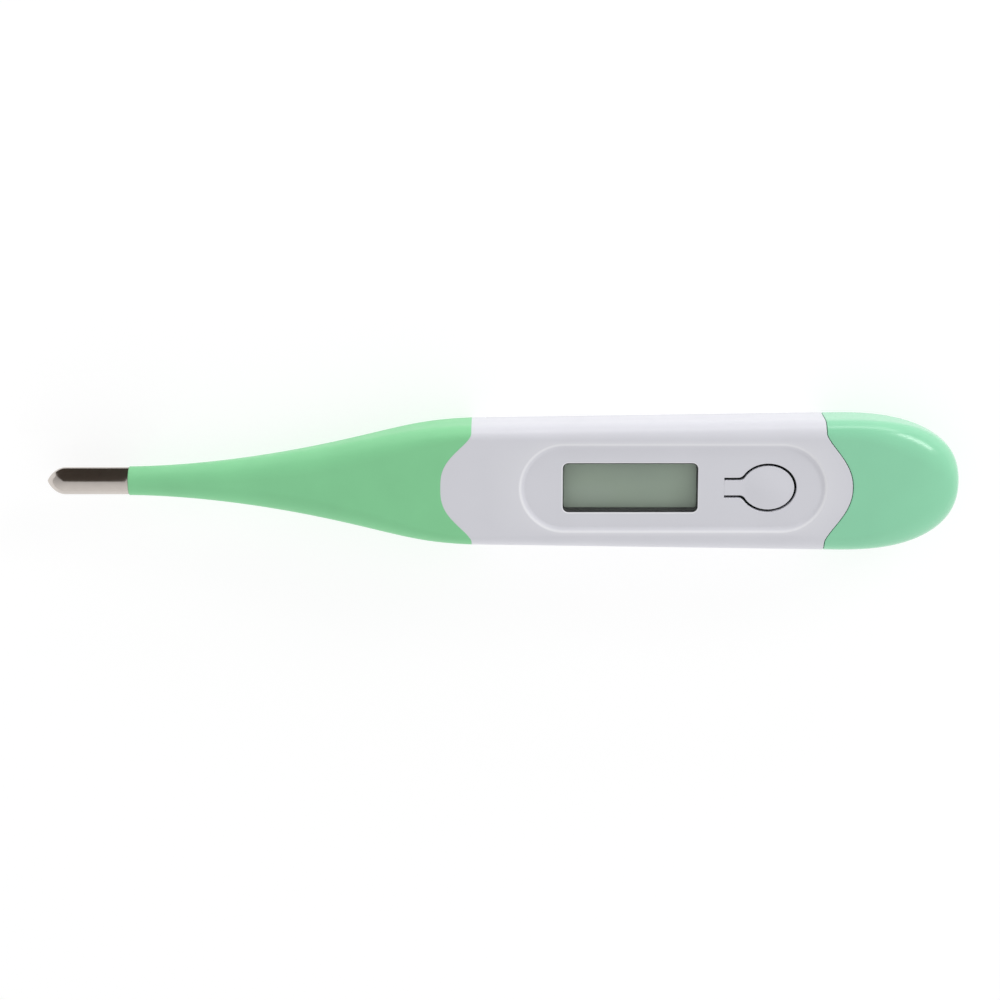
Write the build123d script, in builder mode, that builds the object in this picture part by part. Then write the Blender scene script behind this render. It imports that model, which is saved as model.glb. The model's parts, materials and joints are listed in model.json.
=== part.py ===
"""Flexible-tip digital thermometer, lying on its back.

Frame: X runs from the steel probe (-X) to the battery cover (+X), Y is across the body,
+Z is up through the display. The origin is below the middle of the length, on the table.
"""

import os
from math import radians, sin, sqrt

from build123d import *

# --------------------------------------------------------------------------------------
# Driving dimensions, in millimetres
# --------------------------------------------------------------------------------------

# Lengths along X; their sum is the overall length
tip_length = 11.7  # bare steel ahead of the stem
stem_length = 48.9  # soft stem, from the steel to the housing's side seam
body_length = 50.0  # white housing, between its two side seams
cover_length = 19.4  # battery cover, behind its side seam

# Outer section
body_thickness = 10.2
front_width = 17.3  # at the front seam
rear_width = 18.9  # at the battery cover
corner_radius = 2.6
dome_length = 16.9  # rounded end of the battery cover
dome_plan_power = 2.5
dome_side_power = 3.2
stem_tip_step = 0.1  # soft stem proud of the steel where they meet
face_trim = 0.02  # the lofted skin is this much thicker, and its faces are cut flat

# How the stem swells from the probe to the housing
swell_gain = 1.25
swell_power = 1.75
swell_knee = 8
height_lag = 0.85
tip_roundness = 0.98
end_roundness = 0.96

# Seams, seen from above
seam_radius = 7.7
seam_arc_half = 6.4  # half width of the round stretch
front_bulge = 4.4
rear_bulge = 3.85
seam_gap = 0.1  # between housing and battery cover

# Probe
tip_diameter = 3.9
nose_length = 3.2
tip_wall = 0.2
neck_step = 0.45  # neck below the steel's outside
neck_length = 3.0
epoxy_length = 5.0
bead_diameter = 0.9
bead_depth = 1.7  # from the probe's end to the bead's middle
fill_clearance = 0.03

# Sensor wires and their sleeve
wire_diameter = 0.3
wire_pitch = 0.56
wire_end_run = 2.0  # along the board to the solder
wire_straight_run = 0.2  # into the cavity, and ahead of the board
sleeve_diameter = 1.5
sleeve_bore = 1.1
sleeve_overlap = 1.0  # into the steel tip
stem_bore = 1.8
nose_bore = 2.4

# Housing
wall = 1.3
front_wall = 1.9  # solid front end behind the side seam
rear_wall = 1.0  # solid rear end ahead of the side seam
stem_skin = 1.6  # soft layer over the housing's nose
nose_least_corner = 0.3
nose_share = 0.64  # where on the stem the nose begins
split_height = 2.6
split_gap = 0.05
lip_thickness = 0.6
lip_drop = 0.25  # top of the lip below the circuit board
lip_clearance = 0.1

# Face recess, window and button
recess_depth = 0.4
recess_width = 13.0
recess_front_margin = 6.25
recess_rear_margin = 4.7
window_offset = 22.45  # window centre, behind the front side seam
window_length = 19.1
window_width = 7.1
window_radius = 0.8
button_offset = 41.9  # button centre, behind the front side seam
button_length = 7.4
button_width = 6.28
button_slot = 0.35
button_crown = 0.3
button_shoulder = 0.3  # flat rim round the crown, at its narrowest
tongue_width = 2.2
tongue_reach = 6.2  # from the hinge line to the button's centre
hinge_gap = 0.1
post_diameter = 2.2
key_drop = 1.7  # key top below the inner face of the front wall
key_clearance = 0.05
key_plug_diameter = 3.0
key_base_diameter = 6.6
key_web = 0.5
key_base_ring = 0.8  # width of the ring that rests on the board
key_ceiling_inset = 0.2
key_base_height = 0.55
key_travel = 0.55
pill_diameter = 2.0
pill_height = 0.5

# Display
lens_setback = 0.1
lens_fit = 0.05
flange_rim = 1.2
flange_height = 0.6
gasket_height = 0.2
lens_gap = 0.2
film_height = 0.2
plate_height = 1.0
display_rim_x = 1.3  # display glass beyond the window at each end
display_rim_y = 1.95
contact_ledge = 1.6
zebra_width = 1.1
part_space = 1.1  # between display and board
frame_wall = 0.8
frame_fit = 0.1
shelf_width = 1.0

# Circuit board
board_height = 0.8
board_clearance = 0.15
board_front_gap = 1.5
board_rear_gap = 0.2
resin_diameter = 6.4
resin_height = 0.9
boss_diameter = 2.8
boss_gap = 0.6
boss_y = 5.1
screw_diameter = 1.0
screw_fit = 0.1
screw_head_diameter = 2.0
screw_head_height = 0.6
screw_length = 3.0
screw_slot = 0.3
screw_slot_share = 0.7  # of the head's diameter
solder_diameter = 1.1
solder_height = 0.45
chip_part_length = 1.6
chip_part_width = 0.8
chip_part_height = 0.5
capacitor_width = 1.2
capacitor_height = 0.8

# Sounder
disc_diameter = 11.0
disc_height = 0.2
ceramic_diameter = 8.0
ceramic_height = 0.2

# Battery end
battery_diameter = 7.9
battery_height = 3.6
battery_fit = 0.1
battery_end_wall = 0.6
battery_edge = 0.25
spigot_length = 10.4  # behind the rear side seam
spigot_half_width = 7.6
spigot_half_height = 3.6
spigot_corner = 1.6
spigot_wall = 1.1
spigot_clearance = 0.2
spigot_inner_corner = 0.4
spigot_thinning = 0.3  # its top and bottom walls are this much thinner than its sides
tray_clearance = 0.15
tray_setback = 0.3  # tray behind the cavity's rear end
tray_side_gap = 0.2
tray_floor = 0.45
strip_height = 0.2
strip_width = 2.6
strip_slot = 3.2
strip_foot = 1.6
strip_press = 0.02
strip_leg_setback = 1.0  # leg ahead of the board's rear end
strip_ramp = 1.5  # from the tray's end, and from the battery's middle
strip_floor_start = 0.8
strip_tongue_end = 1.0  # past the battery's middle
solder_shift = 0.8  # of the solder's radius, past the wire's end
seal_diameter = 0.7
seal_depth = 0.2  # of the seal's centre line below the spigot's face
seal_offset = 7.4  # behind the rear side seam
seal_fit = 0.04

# --------------------------------------------------------------------------------------
# Derived places
# --------------------------------------------------------------------------------------

overall_length = tip_length + stem_length + body_length + cover_length
left_x = -overall_length / 2
right_x = overall_length / 2
shoulder_x = left_x + tip_length
front_x = shoulder_x + stem_length
rear_x = front_x + body_length
dome_x = right_x - dome_length
cavity_front_x = front_x + front_wall
cavity_rear_x = rear_x - rear_wall
nose_x = shoulder_x + nose_share * stem_length
spigot_end_x = rear_x + spigot_length
beyond = 5.0  # how far cutting shapes run past the part
through = body_thickness + 2 * beyond
under_plane = Plane.XY.offset(-beyond)

mid_z = body_thickness / 2
skin_half_height = mid_z + face_trim
body_roundness = corner_radius / skin_half_height
front_inner_z = body_thickness - wall
recess_z = body_thickness - recess_depth
lens_top_z = recess_z - lens_setback
gasket_z = front_inner_z - gasket_height
flange_z = gasket_z - flange_height
polariser_z = flange_z - lens_gap - film_height
upper_plate_z = polariser_z - plate_height
lower_plate_z = upper_plate_z - plate_height
reflector_z = lower_plate_z - film_height
board_top_z = reflector_z - part_space
board_z = board_top_z - board_height
lip_z = board_z - lip_drop
key_top_z = front_inner_z - key_drop
pill_z = board_top_z + key_travel

cavity_half_width = front_width / 2 - wall
lip_half_width = cavity_half_width - lip_clearance
pan_half_width = lip_half_width - lip_thickness
board_half_width = pan_half_width - board_clearance
board_front_x = cavity_front_x + board_front_gap
board_rear_x = cavity_rear_x - board_rear_gap

window_x = front_x + window_offset
button_x = front_x + button_offset
hinge_x = button_x - tongue_reach
recess_front_x = window_x - window_length / 2 - recess_front_margin
recess_rear_x = button_x + button_length / 2 + recess_rear_margin
display_length = window_length + 2 * display_rim_x
display_width = window_width + 2 * display_rim_y
frame_inner_length = display_length + 2 * frame_fit
frame_inner_width = display_width + 2 * frame_fit
frame_front_x = window_x - frame_inner_length / 2 - frame_wall
boss_front_x = frame_front_x - boss_gap - boss_diameter / 2
boss_rear_x = cavity_rear_x - boss_diameter / 2 - boss_gap
sounder_x = (cavity_front_x + cavity_rear_x) / 2

battery_x = spigot_end_x - battery_end_wall - battery_diameter / 2
battery_z = mid_z - battery_height / 2
spigot_inner_half_width = spigot_half_width - spigot_wall
spigot_inner_half_height = spigot_half_height - spigot_wall + spigot_thinning
tray_front_x = cavity_rear_x + tray_setback
tray_half_width = spigot_inner_half_width - tray_side_gap
tray_z = mid_z - spigot_inner_half_height + tray_clearance
seal_x = rear_x + seal_offset

probe_axis = Axis((0, 0, mid_z), (1, 0, 0))
side_plane = Plane.XZ  # local x is X, local y is Z
axis_plane = Plane(origin=(0, 0, mid_z), x_dir=(1, 0, 0), z_dir=(0, -1, 0))
seam_arc_depth = seam_radius - sqrt(seam_radius**2 - seam_arc_half**2)


# --------------------------------------------------------------------------------------
# Outer shape
# --------------------------------------------------------------------------------------


def section_plane(x):
    """Plane across the body at x: local x is Y, local y is Z, its origin on the axis."""
    return Plane(origin=(x, 0, mid_z), x_dir=(0, 1, 0), z_dir=(1, 0, 0))


def swell(share):
    """The stem's swelling before it is scaled: a power curve with a rounded top."""
    rise = swell_gain * share**swell_power
    return rise / (1 + rise**swell_knee) ** (1 / swell_knee)


def stem_section(share):
    """Half width, half height and corner radius at a share of the stem's length."""
    growth = swell(share) / swell(1)
    start = tip_diameter / 2 + stem_tip_step
    half_width = start + growth * (front_width / 2 - start)
    half_height = start + growth**height_lag * (skin_half_height - start)
    roundness = tip_roundness + growth * (body_roundness - tip_roundness)
    return half_width, half_height, half_height * roundness


def dome_section(share, full_share):
    """Half width, half height and corner radius at a share of the dome's length."""
    reach = share / full_share
    plan = (1 - share**dome_plan_power) ** (1 / dome_plan_power)
    side = (1 - share**dome_side_power) ** (1 / dome_side_power)
    half_width = rear_width / 2 * plan
    half_height = skin_half_height * side
    roundness = body_roundness + reach**2 * (end_roundness - body_roundness)
    return half_width, half_height, min(half_height, half_width) * roundness


stem_shares = [step / 10 for step in range(11)]
body_shares = [0, 0.5, 1]
dome_angles = [0, 10, 20, 30, 40, 50, 60, 68, 75, 80, 84, 87]
dome_full_share = sin(radians(dome_angles[-1]))

with BuildPart() as envelope:
    for share in stem_shares:
        half_width, half_height, corner = stem_section(share)
        with BuildSketch(section_plane(shoulder_x + share * stem_length)):
            RectangleRounded(2 * half_width, 2 * half_height, corner)
    loft()
    for share in body_shares:
        width = front_width + share * (rear_width - front_width)
        with BuildSketch(section_plane(front_x + share * (dome_x - front_x))):
            RectangleRounded(width, 2 * skin_half_height, corner_radius)
    loft()
    for angle in dome_angles:
        share = sin(radians(angle))
        half_width, half_height, corner = dome_section(share, dome_full_share)
        with BuildSketch(section_plane(dome_x + share / dome_full_share * dome_length)):
            RectangleRounded(2 * half_width, 2 * half_height, corner)
    loft()
    with Locations((0, 0, mid_z)):
        Box(2 * overall_length, 2 * rear_width, body_thickness, mode=Mode.INTERSECT)


def seam_region(side_x, bulge, far_x):
    """Plan region between a seam and X = far_x; bulge is signed, from side to apex."""
    apex_x = side_x + bulge
    arc_x = apex_x - seam_arc_depth if bulge > 0 else apex_x + seam_arc_depth
    flare_y = front_width / 2
    far_y = rear_width
    with BuildLine() as outline:
        ThreePointArc((arc_x, -seam_arc_half), (apex_x, 0), (arc_x, seam_arc_half))
        Polyline(
            (arc_x, seam_arc_half),
            (side_x, flare_y),
            (side_x, far_y),
            (far_x, far_y),
            (far_x, -far_y),
            (side_x, -far_y),
            (side_x, -flare_y),
            (arc_x, -seam_arc_half),
        )
    make_face(outline.edges())


with BuildPart() as nose:
    for step in range(5):
        share = nose_share + step / 4 * (1 - nose_share)
        half_width, half_height, corner = stem_section(share)
        with BuildSketch(section_plane(shoulder_x + share * stem_length)):
            RectangleRounded(
                2 * (half_width - stem_skin),
                2 * (half_height - stem_skin),
                max(corner - stem_skin, nose_least_corner),
            )
    loft()

os.makedirs("parts", exist_ok=True)


def save(builder, label):
    """Name the finished piece and write its file."""
    builder.part.label = label
    export_step(builder.part, f"parts/{label}.step")


# --------------------------------------------------------------------------------------
# Probe: steel tip, its filling, the sensor and the wires
# --------------------------------------------------------------------------------------

tip_radius = tip_diameter / 2
neck_radius = tip_radius - neck_step
neck_x = shoulder_x + neck_length
fill_radius = tip_radius - tip_wall - fill_clearance


def nose_arc(length, radius):
    """Upper quarter of the probe's elliptical nose, on the axis plane."""
    EllipticalCenterArc((left_x + nose_length, 0), length, radius, 90, arc_size=90)


with BuildPart() as probe_tip:
    with BuildSketch(axis_plane):
        with BuildLine():
            nose_arc(nose_length, tip_radius)
            nose_arc(nose_length - tip_wall, tip_radius - tip_wall)
            Line((left_x, 0), (left_x + tip_wall, 0))
            Polyline(
                (left_x + nose_length, tip_radius),
                (shoulder_x, tip_radius),
                (shoulder_x, neck_radius),
                (neck_x, neck_radius),
                (neck_x, neck_radius - tip_wall),
                (shoulder_x - tip_wall, neck_radius - tip_wall),
                (shoulder_x - tip_wall, tip_radius - tip_wall),
                (left_x + nose_length, tip_radius - tip_wall),
            )
        make_face()
    revolve(axis=probe_axis)
save(probe_tip, "probe_tip")

bead_x = left_x + bead_depth
with BuildPart() as thermistor:
    with Locations((bead_x, 0, mid_z)):
        Sphere(bead_diameter / 2)
save(thermistor, "thermistor")

wire_start_x = bead_x + bead_diameter / 2 + fill_clearance
wire_pad_x = board_front_x + wire_end_run
wire_pad_z = board_top_z + wire_diameter / 2
wire_bend_x = cavity_front_x + wire_straight_run

with BuildPart() as sensor_wires:
    for side in (-1, 1):
        wire_y = side * wire_pitch / 2
        with BuildLine(side_plane.offset(-wire_y)) as wire_path:
            Polyline(
                (wire_start_x, mid_z),
                (wire_bend_x, mid_z),
                (board_front_x - wire_straight_run, wire_pad_z),
                (wire_pad_x, wire_pad_z),
            )
        with BuildSketch(Plane(origin=(wire_start_x, wire_y, mid_z), z_dir=(1, 0, 0))):
            Circle(wire_diameter / 2)
        sweep(path=wire_path.line, transition=Transition.RIGHT)
save(sensor_wires, "sensor_wires")

with BuildPart() as tip_epoxy:
    with BuildSketch(axis_plane):
        with BuildLine():
            nose_arc(nose_length - tip_wall - fill_clearance, fill_radius)
            Polyline(
                (left_x + nose_length, fill_radius),
                (left_x + epoxy_length, fill_radius),
                (left_x + epoxy_length, 0),
                (left_x + tip_wall + fill_clearance, 0),
            )
        make_face()
    revolve(axis=probe_axis)
    with Locations((bead_x, 0, mid_z)):
        Sphere(bead_diameter / 2 + fill_clearance, mode=Mode.SUBTRACT)
    with BuildSketch(section_plane(bead_x)):
        with GridLocations(wire_pitch, 0, 2, 1):
            Circle(wire_diameter / 2 + fill_clearance)
    extrude(amount=epoxy_length, mode=Mode.SUBTRACT)
save(tip_epoxy, "tip_epoxy")

with BuildPart() as wire_sleeve:
    with BuildSketch(section_plane(shoulder_x - sleeve_overlap)):
        Circle(sleeve_diameter / 2)
        Circle(sleeve_bore / 2, mode=Mode.SUBTRACT)
    extrude(amount=cavity_front_x - shoulder_x + sleeve_overlap)
save(wire_sleeve, "wire_sleeve")

with BuildPart() as flexible_stem:
    add(envelope.part)
    with BuildSketch(under_plane):
        seam_region(front_x, -front_bulge, left_x - beyond)
    extrude(amount=through, mode=Mode.INTERSECT)
    add(nose.part, mode=Mode.SUBTRACT)
    with BuildSketch(section_plane(shoulder_x)):
        Circle(stem_bore / 2)
    extrude(amount=stem_length, mode=Mode.SUBTRACT)
    with BuildSketch(section_plane(shoulder_x)):
        Circle(neck_radius)
    extrude(amount=neck_length, mode=Mode.SUBTRACT)
save(flexible_stem, "flexible_stem")

# --------------------------------------------------------------------------------------
# Housing: front shell with nose and spigot, and the back cover
# --------------------------------------------------------------------------------------

cavity_length = cavity_rear_x - cavity_front_x
cavity_mid_x = (cavity_rear_x + cavity_front_x) / 2
boss_xs = (boss_front_x, boss_rear_x)
boss_spots = [(x, y) for x in boss_xs for y in (-boss_y, boss_y)]

with BuildPart() as front_housing:
    add(envelope.part)
    with BuildSketch(under_plane):
        seam_region(front_x, -front_bulge, left_x - beyond)
        seam_region(rear_x, rear_bulge, right_x + beyond)
    extrude(amount=through, mode=Mode.SUBTRACT)
    add(nose.part)

    # Spigot for the battery cover
    with BuildSketch(section_plane(cavity_rear_x)):
        RectangleRounded(2 * spigot_half_width, 2 * spigot_half_height, spigot_corner)
    extrude(amount=spigot_end_x - cavity_rear_x)
    with BuildSketch(section_plane(seal_x - seal_diameter / 2 - seal_fit)):
        Rectangle(3 * spigot_half_width, 3 * spigot_half_height)
        RectangleRounded(
            2 * (spigot_half_width - seal_depth - seal_diameter / 2 - seal_fit),
            2 * (spigot_half_height - seal_depth - seal_diameter / 2 - seal_fit),
            spigot_corner - seal_depth - seal_diameter / 2,
            mode=Mode.SUBTRACT,
        )
    extrude(amount=seal_diameter + 2 * seal_fit, mode=Mode.SUBTRACT)

    # Opening for the back cover, main cavity, battery bore and wire channel
    with BuildSketch(under_plane):
        with Locations((cavity_mid_x, 0)):
            Rectangle(cavity_length, 2 * rear_width)
    extrude(amount=beyond + split_height, mode=Mode.SUBTRACT)
    with BuildSketch(section_plane(cavity_front_x)):
        RectangleRounded(
            2 * cavity_half_width, body_thickness - 2 * wall, corner_radius - wall
        )
    extrude(amount=cavity_length, mode=Mode.SUBTRACT)
    with BuildSketch(section_plane(cavity_rear_x - rear_wall)):
        RectangleRounded(
            2 * spigot_inner_half_width, 2 * spigot_inner_half_height, spigot_inner_corner
        )
    extrude(amount=spigot_end_x - cavity_rear_x + 2 * rear_wall, mode=Mode.SUBTRACT)
    with BuildSketch(section_plane(nose_x - beyond)):
        Circle(nose_bore / 2)
    extrude(amount=cavity_front_x - nose_x + 2 * beyond, mode=Mode.SUBTRACT)

    # Face recess, window and the slot around the button
    with BuildSketch(Plane.XY.offset(recess_z)):
        with Locations(((recess_front_x + recess_rear_x) / 2, 0)):
            SlotOverall(recess_rear_x - recess_front_x, recess_width)
    extrude(amount=beyond, mode=Mode.SUBTRACT)
    with BuildSketch(Plane.XY.offset(front_inner_z - wall / 2)):
        with Locations((window_x, 0)):
            RectangleRounded(window_length, window_width, window_radius)
        with Locations((button_x, 0)):
            Ellipse(button_length / 2 + button_slot, button_width / 2 + button_slot)
        with Locations(((hinge_x + button_x) / 2, 0)):
            Rectangle(button_x - hinge_x, tongue_width + 2 * button_slot)
    extrude(amount=2 * wall, mode=Mode.SUBTRACT)

    # Screw bosses
    with BuildSketch(Plane.XY.offset(board_top_z)):
        with Locations(*boss_spots):
            Circle(boss_diameter / 2)
    extrude(amount=front_inner_z - board_top_z)
    with BuildSketch(Plane.XY.offset(board_top_z)):
        with Locations(*boss_spots):
            Circle(screw_diameter / 2)
    extrude(amount=screw_length, mode=Mode.SUBTRACT)
save(front_housing, "front_housing")

pan_length = cavity_length - 2 * split_gap
lip_length = cavity_length - 2 * lip_clearance
with BuildPart() as back_cover:
    add(envelope.part)
    with BuildSketch(under_plane):
        with Locations((cavity_mid_x, 0)):
            Rectangle(pan_length, 2 * rear_width)
    extrude(amount=beyond + split_height - split_gap, mode=Mode.INTERSECT)
    with BuildSketch(Plane.XY.offset(wall)):
        with Locations((cavity_mid_x, 0)):
            Rectangle(lip_length - 2 * lip_thickness, 2 * pan_half_width)
    extrude(amount=split_height, mode=Mode.SUBTRACT)
    with BuildSketch(Plane.XY.offset(wall)):
        with Locations((cavity_mid_x, 0)):
            Rectangle(lip_length, 2 * lip_half_width)
            Rectangle(lip_length - 2 * lip_thickness, 2 * pan_half_width, mode=Mode.SUBTRACT)
    extrude(amount=lip_z - wall)
save(back_cover, "back_cover")

# --------------------------------------------------------------------------------------
# Display
# --------------------------------------------------------------------------------------

with BuildPart() as display_lens:
    with BuildSketch(Plane.XY.offset(flange_z)):
        with Locations((window_x, 0)):
            Rectangle(window_length + 2 * flange_rim, window_width + 2 * flange_rim)
    extrude(amount=flange_height)
    with BuildSketch(Plane.XY.offset(gasket_z)):
        with Locations((window_x, 0)):
            RectangleRounded(
                window_length - 2 * lens_fit, window_width - 2 * lens_fit, window_radius
            )
    extrude(amount=lens_top_z - gasket_z)
save(display_lens, "display_lens")

with BuildPart() as lens_gasket:
    with BuildSketch(Plane.XY.offset(gasket_z)):
        with Locations((window_x, 0)):
            Rectangle(window_length + 2 * flange_rim, window_width + 2 * flange_rim)
            RectangleRounded(
                window_length, window_width, window_radius, mode=Mode.SUBTRACT
            )
    extrude(amount=gasket_height)
save(lens_gasket, "lens_gasket")

lower_width = display_width - contact_ledge
lower_y = contact_ledge / 2

with BuildPart() as lcd_front_polariser:
    with BuildSketch(Plane.XY.offset(polariser_z)):
        with Locations((window_x, 0)):
            Rectangle(display_length, display_width)
    extrude(amount=film_height)
save(lcd_front_polariser, "lcd_front_polariser")

with BuildPart() as lcd_glass:
    with BuildSketch(Plane.XY.offset(upper_plate_z)):
        with Locations((window_x, 0)):
            Rectangle(display_length, display_width)
    extrude(amount=plate_height)
    with BuildSketch(Plane.XY.offset(lower_plate_z)):
        with Locations((window_x, lower_y)):
            Rectangle(display_length, lower_width)
    extrude(amount=plate_height)
save(lcd_glass, "lcd_glass")

with BuildPart() as lcd_reflector:
    with BuildSketch(Plane.XY.offset(reflector_z)):
        with Locations((window_x, lower_y)):
            Rectangle(display_length, lower_width)
    extrude(amount=film_height)
save(lcd_reflector, "lcd_reflector")

zebra_y = -display_width / 2 + contact_ledge / 2
with BuildPart() as zebra_strip:
    with BuildSketch(Plane.XY.offset(board_top_z)):
        with Locations((window_x, zebra_y)):
            Rectangle(display_length - 2 * shelf_width, zebra_width)
    extrude(amount=upper_plate_z - board_top_z)
save(zebra_strip, "zebra_strip")

with BuildPart() as lcd_frame:
    with BuildSketch(Plane.XY.offset(board_top_z)):
        with Locations((window_x, 0)):
            Rectangle(
                frame_inner_length + 2 * frame_wall, frame_inner_width + 2 * frame_wall
            )
            Rectangle(frame_inner_length, frame_inner_width, mode=Mode.SUBTRACT)
    extrude(amount=front_inner_z - frame_fit - board_top_z)
    shelf_x = (frame_inner_length - shelf_width) / 2
    with BuildSketch(Plane.XY.offset(board_top_z)):
        with Locations((window_x - shelf_x, lower_y), (window_x + shelf_x, lower_y)):
            Rectangle(shelf_width, lower_width)
    extrude(amount=reflector_z - board_top_z)
save(lcd_frame, "lcd_frame")

# --------------------------------------------------------------------------------------
# Button and key
# --------------------------------------------------------------------------------------

crown_half = button_width / 2 - button_shoulder
crown_radius = (crown_half**2 + button_crown**2) / (2 * button_crown)

with BuildPart() as button_top:
    with Locations((button_x, 0, recess_z + button_crown - crown_radius)):
        Sphere(crown_radius)
    with Locations((button_x, 0, recess_z)):
        Box(
            button_length,
            button_width,
            2 * button_crown,
            align=(Align.CENTER, Align.CENTER, Align.MIN),
            mode=Mode.INTERSECT,
        )

with BuildPart() as button:
    with BuildSketch(Plane.XY.offset(front_inner_z)):
        with Locations((button_x, 0)):
            Ellipse(button_length / 2, button_width / 2)
        with Locations(((hinge_x + hinge_gap + button_x) / 2, 0)):
            Rectangle(button_x - hinge_x - hinge_gap, tongue_width)
    extrude(amount=recess_z - front_inner_z)
    with BuildSketch(Plane.XY.offset(key_top_z + key_clearance)):
        with Locations((button_x, 0)):
            Circle(post_diameter / 2)
    extrude(amount=key_drop - key_clearance)
    add(button_top.part)
save(button, "button")

key_axis = Axis((button_x, 0, 0), (0, 0, 1))
key_base_z = board_top_z + key_base_height
pill_top_z = pill_z + pill_height
plug_radius = key_plug_diameter / 2
base_radius = key_base_diameter / 2

with BuildPart() as key_rubber:
    with BuildSketch(side_plane):
        with BuildLine():
            Polyline(
                (button_x, key_top_z),
                (button_x + plug_radius, key_top_z),
                (button_x + plug_radius, pill_top_z + key_web),
                (button_x + base_radius - key_web, key_base_z),
                (button_x + base_radius, key_base_z),
                (button_x + base_radius, board_top_z),
                (button_x + base_radius - key_base_ring, board_top_z),
                (button_x + plug_radius - key_ceiling_inset, pill_top_z),
                (button_x, pill_top_z),
                close=True,
            )
        make_face()
    revolve(axis=key_axis)
save(key_rubber, "key_rubber")

with BuildPart() as carbon_pill:
    with BuildSketch(Plane.XY.offset(pill_z)):
        with Locations((button_x, 0)):
            Circle(pill_diameter / 2)
    extrude(amount=pill_height)
save(carbon_pill, "carbon_pill")

# --------------------------------------------------------------------------------------
# Circuit board and what is on it
# --------------------------------------------------------------------------------------

board_length = board_rear_x - board_front_x
board_mid_x = (board_rear_x + board_front_x) / 2

with BuildPart() as circuit_board:
    with BuildSketch(Plane.XY.offset(board_z)):
        with Locations((board_mid_x, 0)):
            Rectangle(board_length, 2 * board_half_width)
        with Locations(*boss_spots):
            Circle(screw_diameter / 2 + screw_fit, mode=Mode.SUBTRACT)
    extrude(amount=board_height)
save(circuit_board, "circuit_board")

with BuildPart() as board_screws:
    with BuildSketch(Plane.XY.offset(board_z - screw_head_height)):
        with Locations(*boss_spots):
            Circle(screw_head_diameter / 2)
    extrude(amount=screw_head_height)
    with BuildSketch(Plane.XY.offset(board_z)):
        with Locations(*boss_spots):
            Circle(screw_diameter / 2)
    extrude(amount=board_height + screw_length)
    with BuildSketch(Plane.XY.offset(board_z - screw_head_height)):
        with Locations(*boss_spots):
            Rectangle(screw_slot_share * screw_head_diameter, screw_slot)
            Rectangle(screw_slot, screw_slot_share * screw_head_diameter)
    extrude(amount=screw_head_height / 2, mode=Mode.SUBTRACT)
save(board_screws, "board_screws")

resin_radius = (resin_diameter**2 / 4 + resin_height**2) / (2 * resin_height)
with BuildPart() as chip_resin:
    with BuildSketch(side_plane):
        with BuildLine():
            RadiusArc(
                (window_x, board_top_z + resin_height),
                (window_x + resin_diameter / 2, board_top_z),
                resin_radius,
            )
            Line((window_x + resin_diameter / 2, board_top_z), (window_x, board_top_z))
            Line((window_x, board_top_z), (window_x, board_top_z + resin_height))
        make_face()
    revolve(axis=Axis((window_x, 0, 0), (0, 0, 1)))
save(chip_resin, "chip_resin")

frame_rear_x = window_x + frame_inner_length / 2 + frame_wall
chip_parts_x = (frame_rear_x + button_x - base_radius) / 2

with BuildPart() as resistors:
    with BuildSketch(Plane.XY.offset(board_top_z)):
        with Locations((chip_parts_x, 0)):
            with GridLocations(0, 2 * chip_part_width, 1, 4):
                Rectangle(chip_part_length, chip_part_width)
    extrude(amount=chip_part_height)
save(resistors, "resistors")

with BuildPart() as capacitors:
    with BuildSketch(Plane.XY.offset(board_top_z)):
        for side in (-1, 1):
            with Locations((chip_parts_x, side * (board_half_width - capacitor_width))):
                Rectangle(chip_part_length, capacitor_width)
    extrude(amount=capacitor_height)
save(capacitors, "capacitors")

# --------------------------------------------------------------------------------------
# Sounder on the back cover, under the board
# --------------------------------------------------------------------------------------

with BuildPart() as buzzer_disc:
    with BuildSketch(Plane.XY.offset(wall)):
        with Locations((sounder_x, 0)):
            Circle(disc_diameter / 2)
    extrude(amount=disc_height)
save(buzzer_disc, "buzzer_disc")

ceramic_z = wall + disc_height
with BuildPart() as buzzer_ceramic:
    with BuildSketch(Plane.XY.offset(ceramic_z)):
        with Locations((sounder_x, 0)):
            Circle(ceramic_diameter / 2)
    extrude(amount=ceramic_height)
save(buzzer_ceramic, "buzzer_ceramic")

ceramic_wire_x = sounder_x + ceramic_diameter / 4
disc_wire_x = sounder_x + (disc_diameter + ceramic_diameter) / 4
with BuildPart() as buzzer_wires:
    for wire_x, foot_z in (
        (ceramic_wire_x, ceramic_z + ceramic_height),
        (disc_wire_x, ceramic_z),
    ):
        with BuildSketch(Plane.XY.offset(foot_z)):
            with Locations((wire_x, 0)):
                Circle(wire_diameter / 2)
        extrude(amount=board_z - foot_z)
save(buzzer_wires, "buzzer_wires")

# --------------------------------------------------------------------------------------
# Battery end: tray, battery, contacts, cover and seal
# --------------------------------------------------------------------------------------

tray_top_z = battery_z + battery_height
tray_rear_x = spigot_end_x - tray_clearance
tray_floor_z = tray_z + tray_floor
pocket_radius = battery_diameter / 2 + battery_fit

with BuildPart() as battery_holder:
    with BuildSketch(Plane.XY.offset(tray_z)):
        with Locations(((tray_front_x + tray_rear_x) / 2, 0)):
            Rectangle(tray_rear_x - tray_front_x, 2 * tray_half_width)
    extrude(amount=tray_top_z - tray_z)
    with BuildSketch(Plane.XY.offset(tray_floor_z)):
        with Locations((battery_x, 0)):
            Circle(pocket_radius)
        with Locations(((tray_front_x + battery_x) / 2 - beyond / 2, 0)):
            Rectangle(battery_x - tray_front_x + beyond, strip_slot)
    extrude(amount=tray_top_z, mode=Mode.SUBTRACT)
save(battery_holder, "battery_holder")

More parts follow.
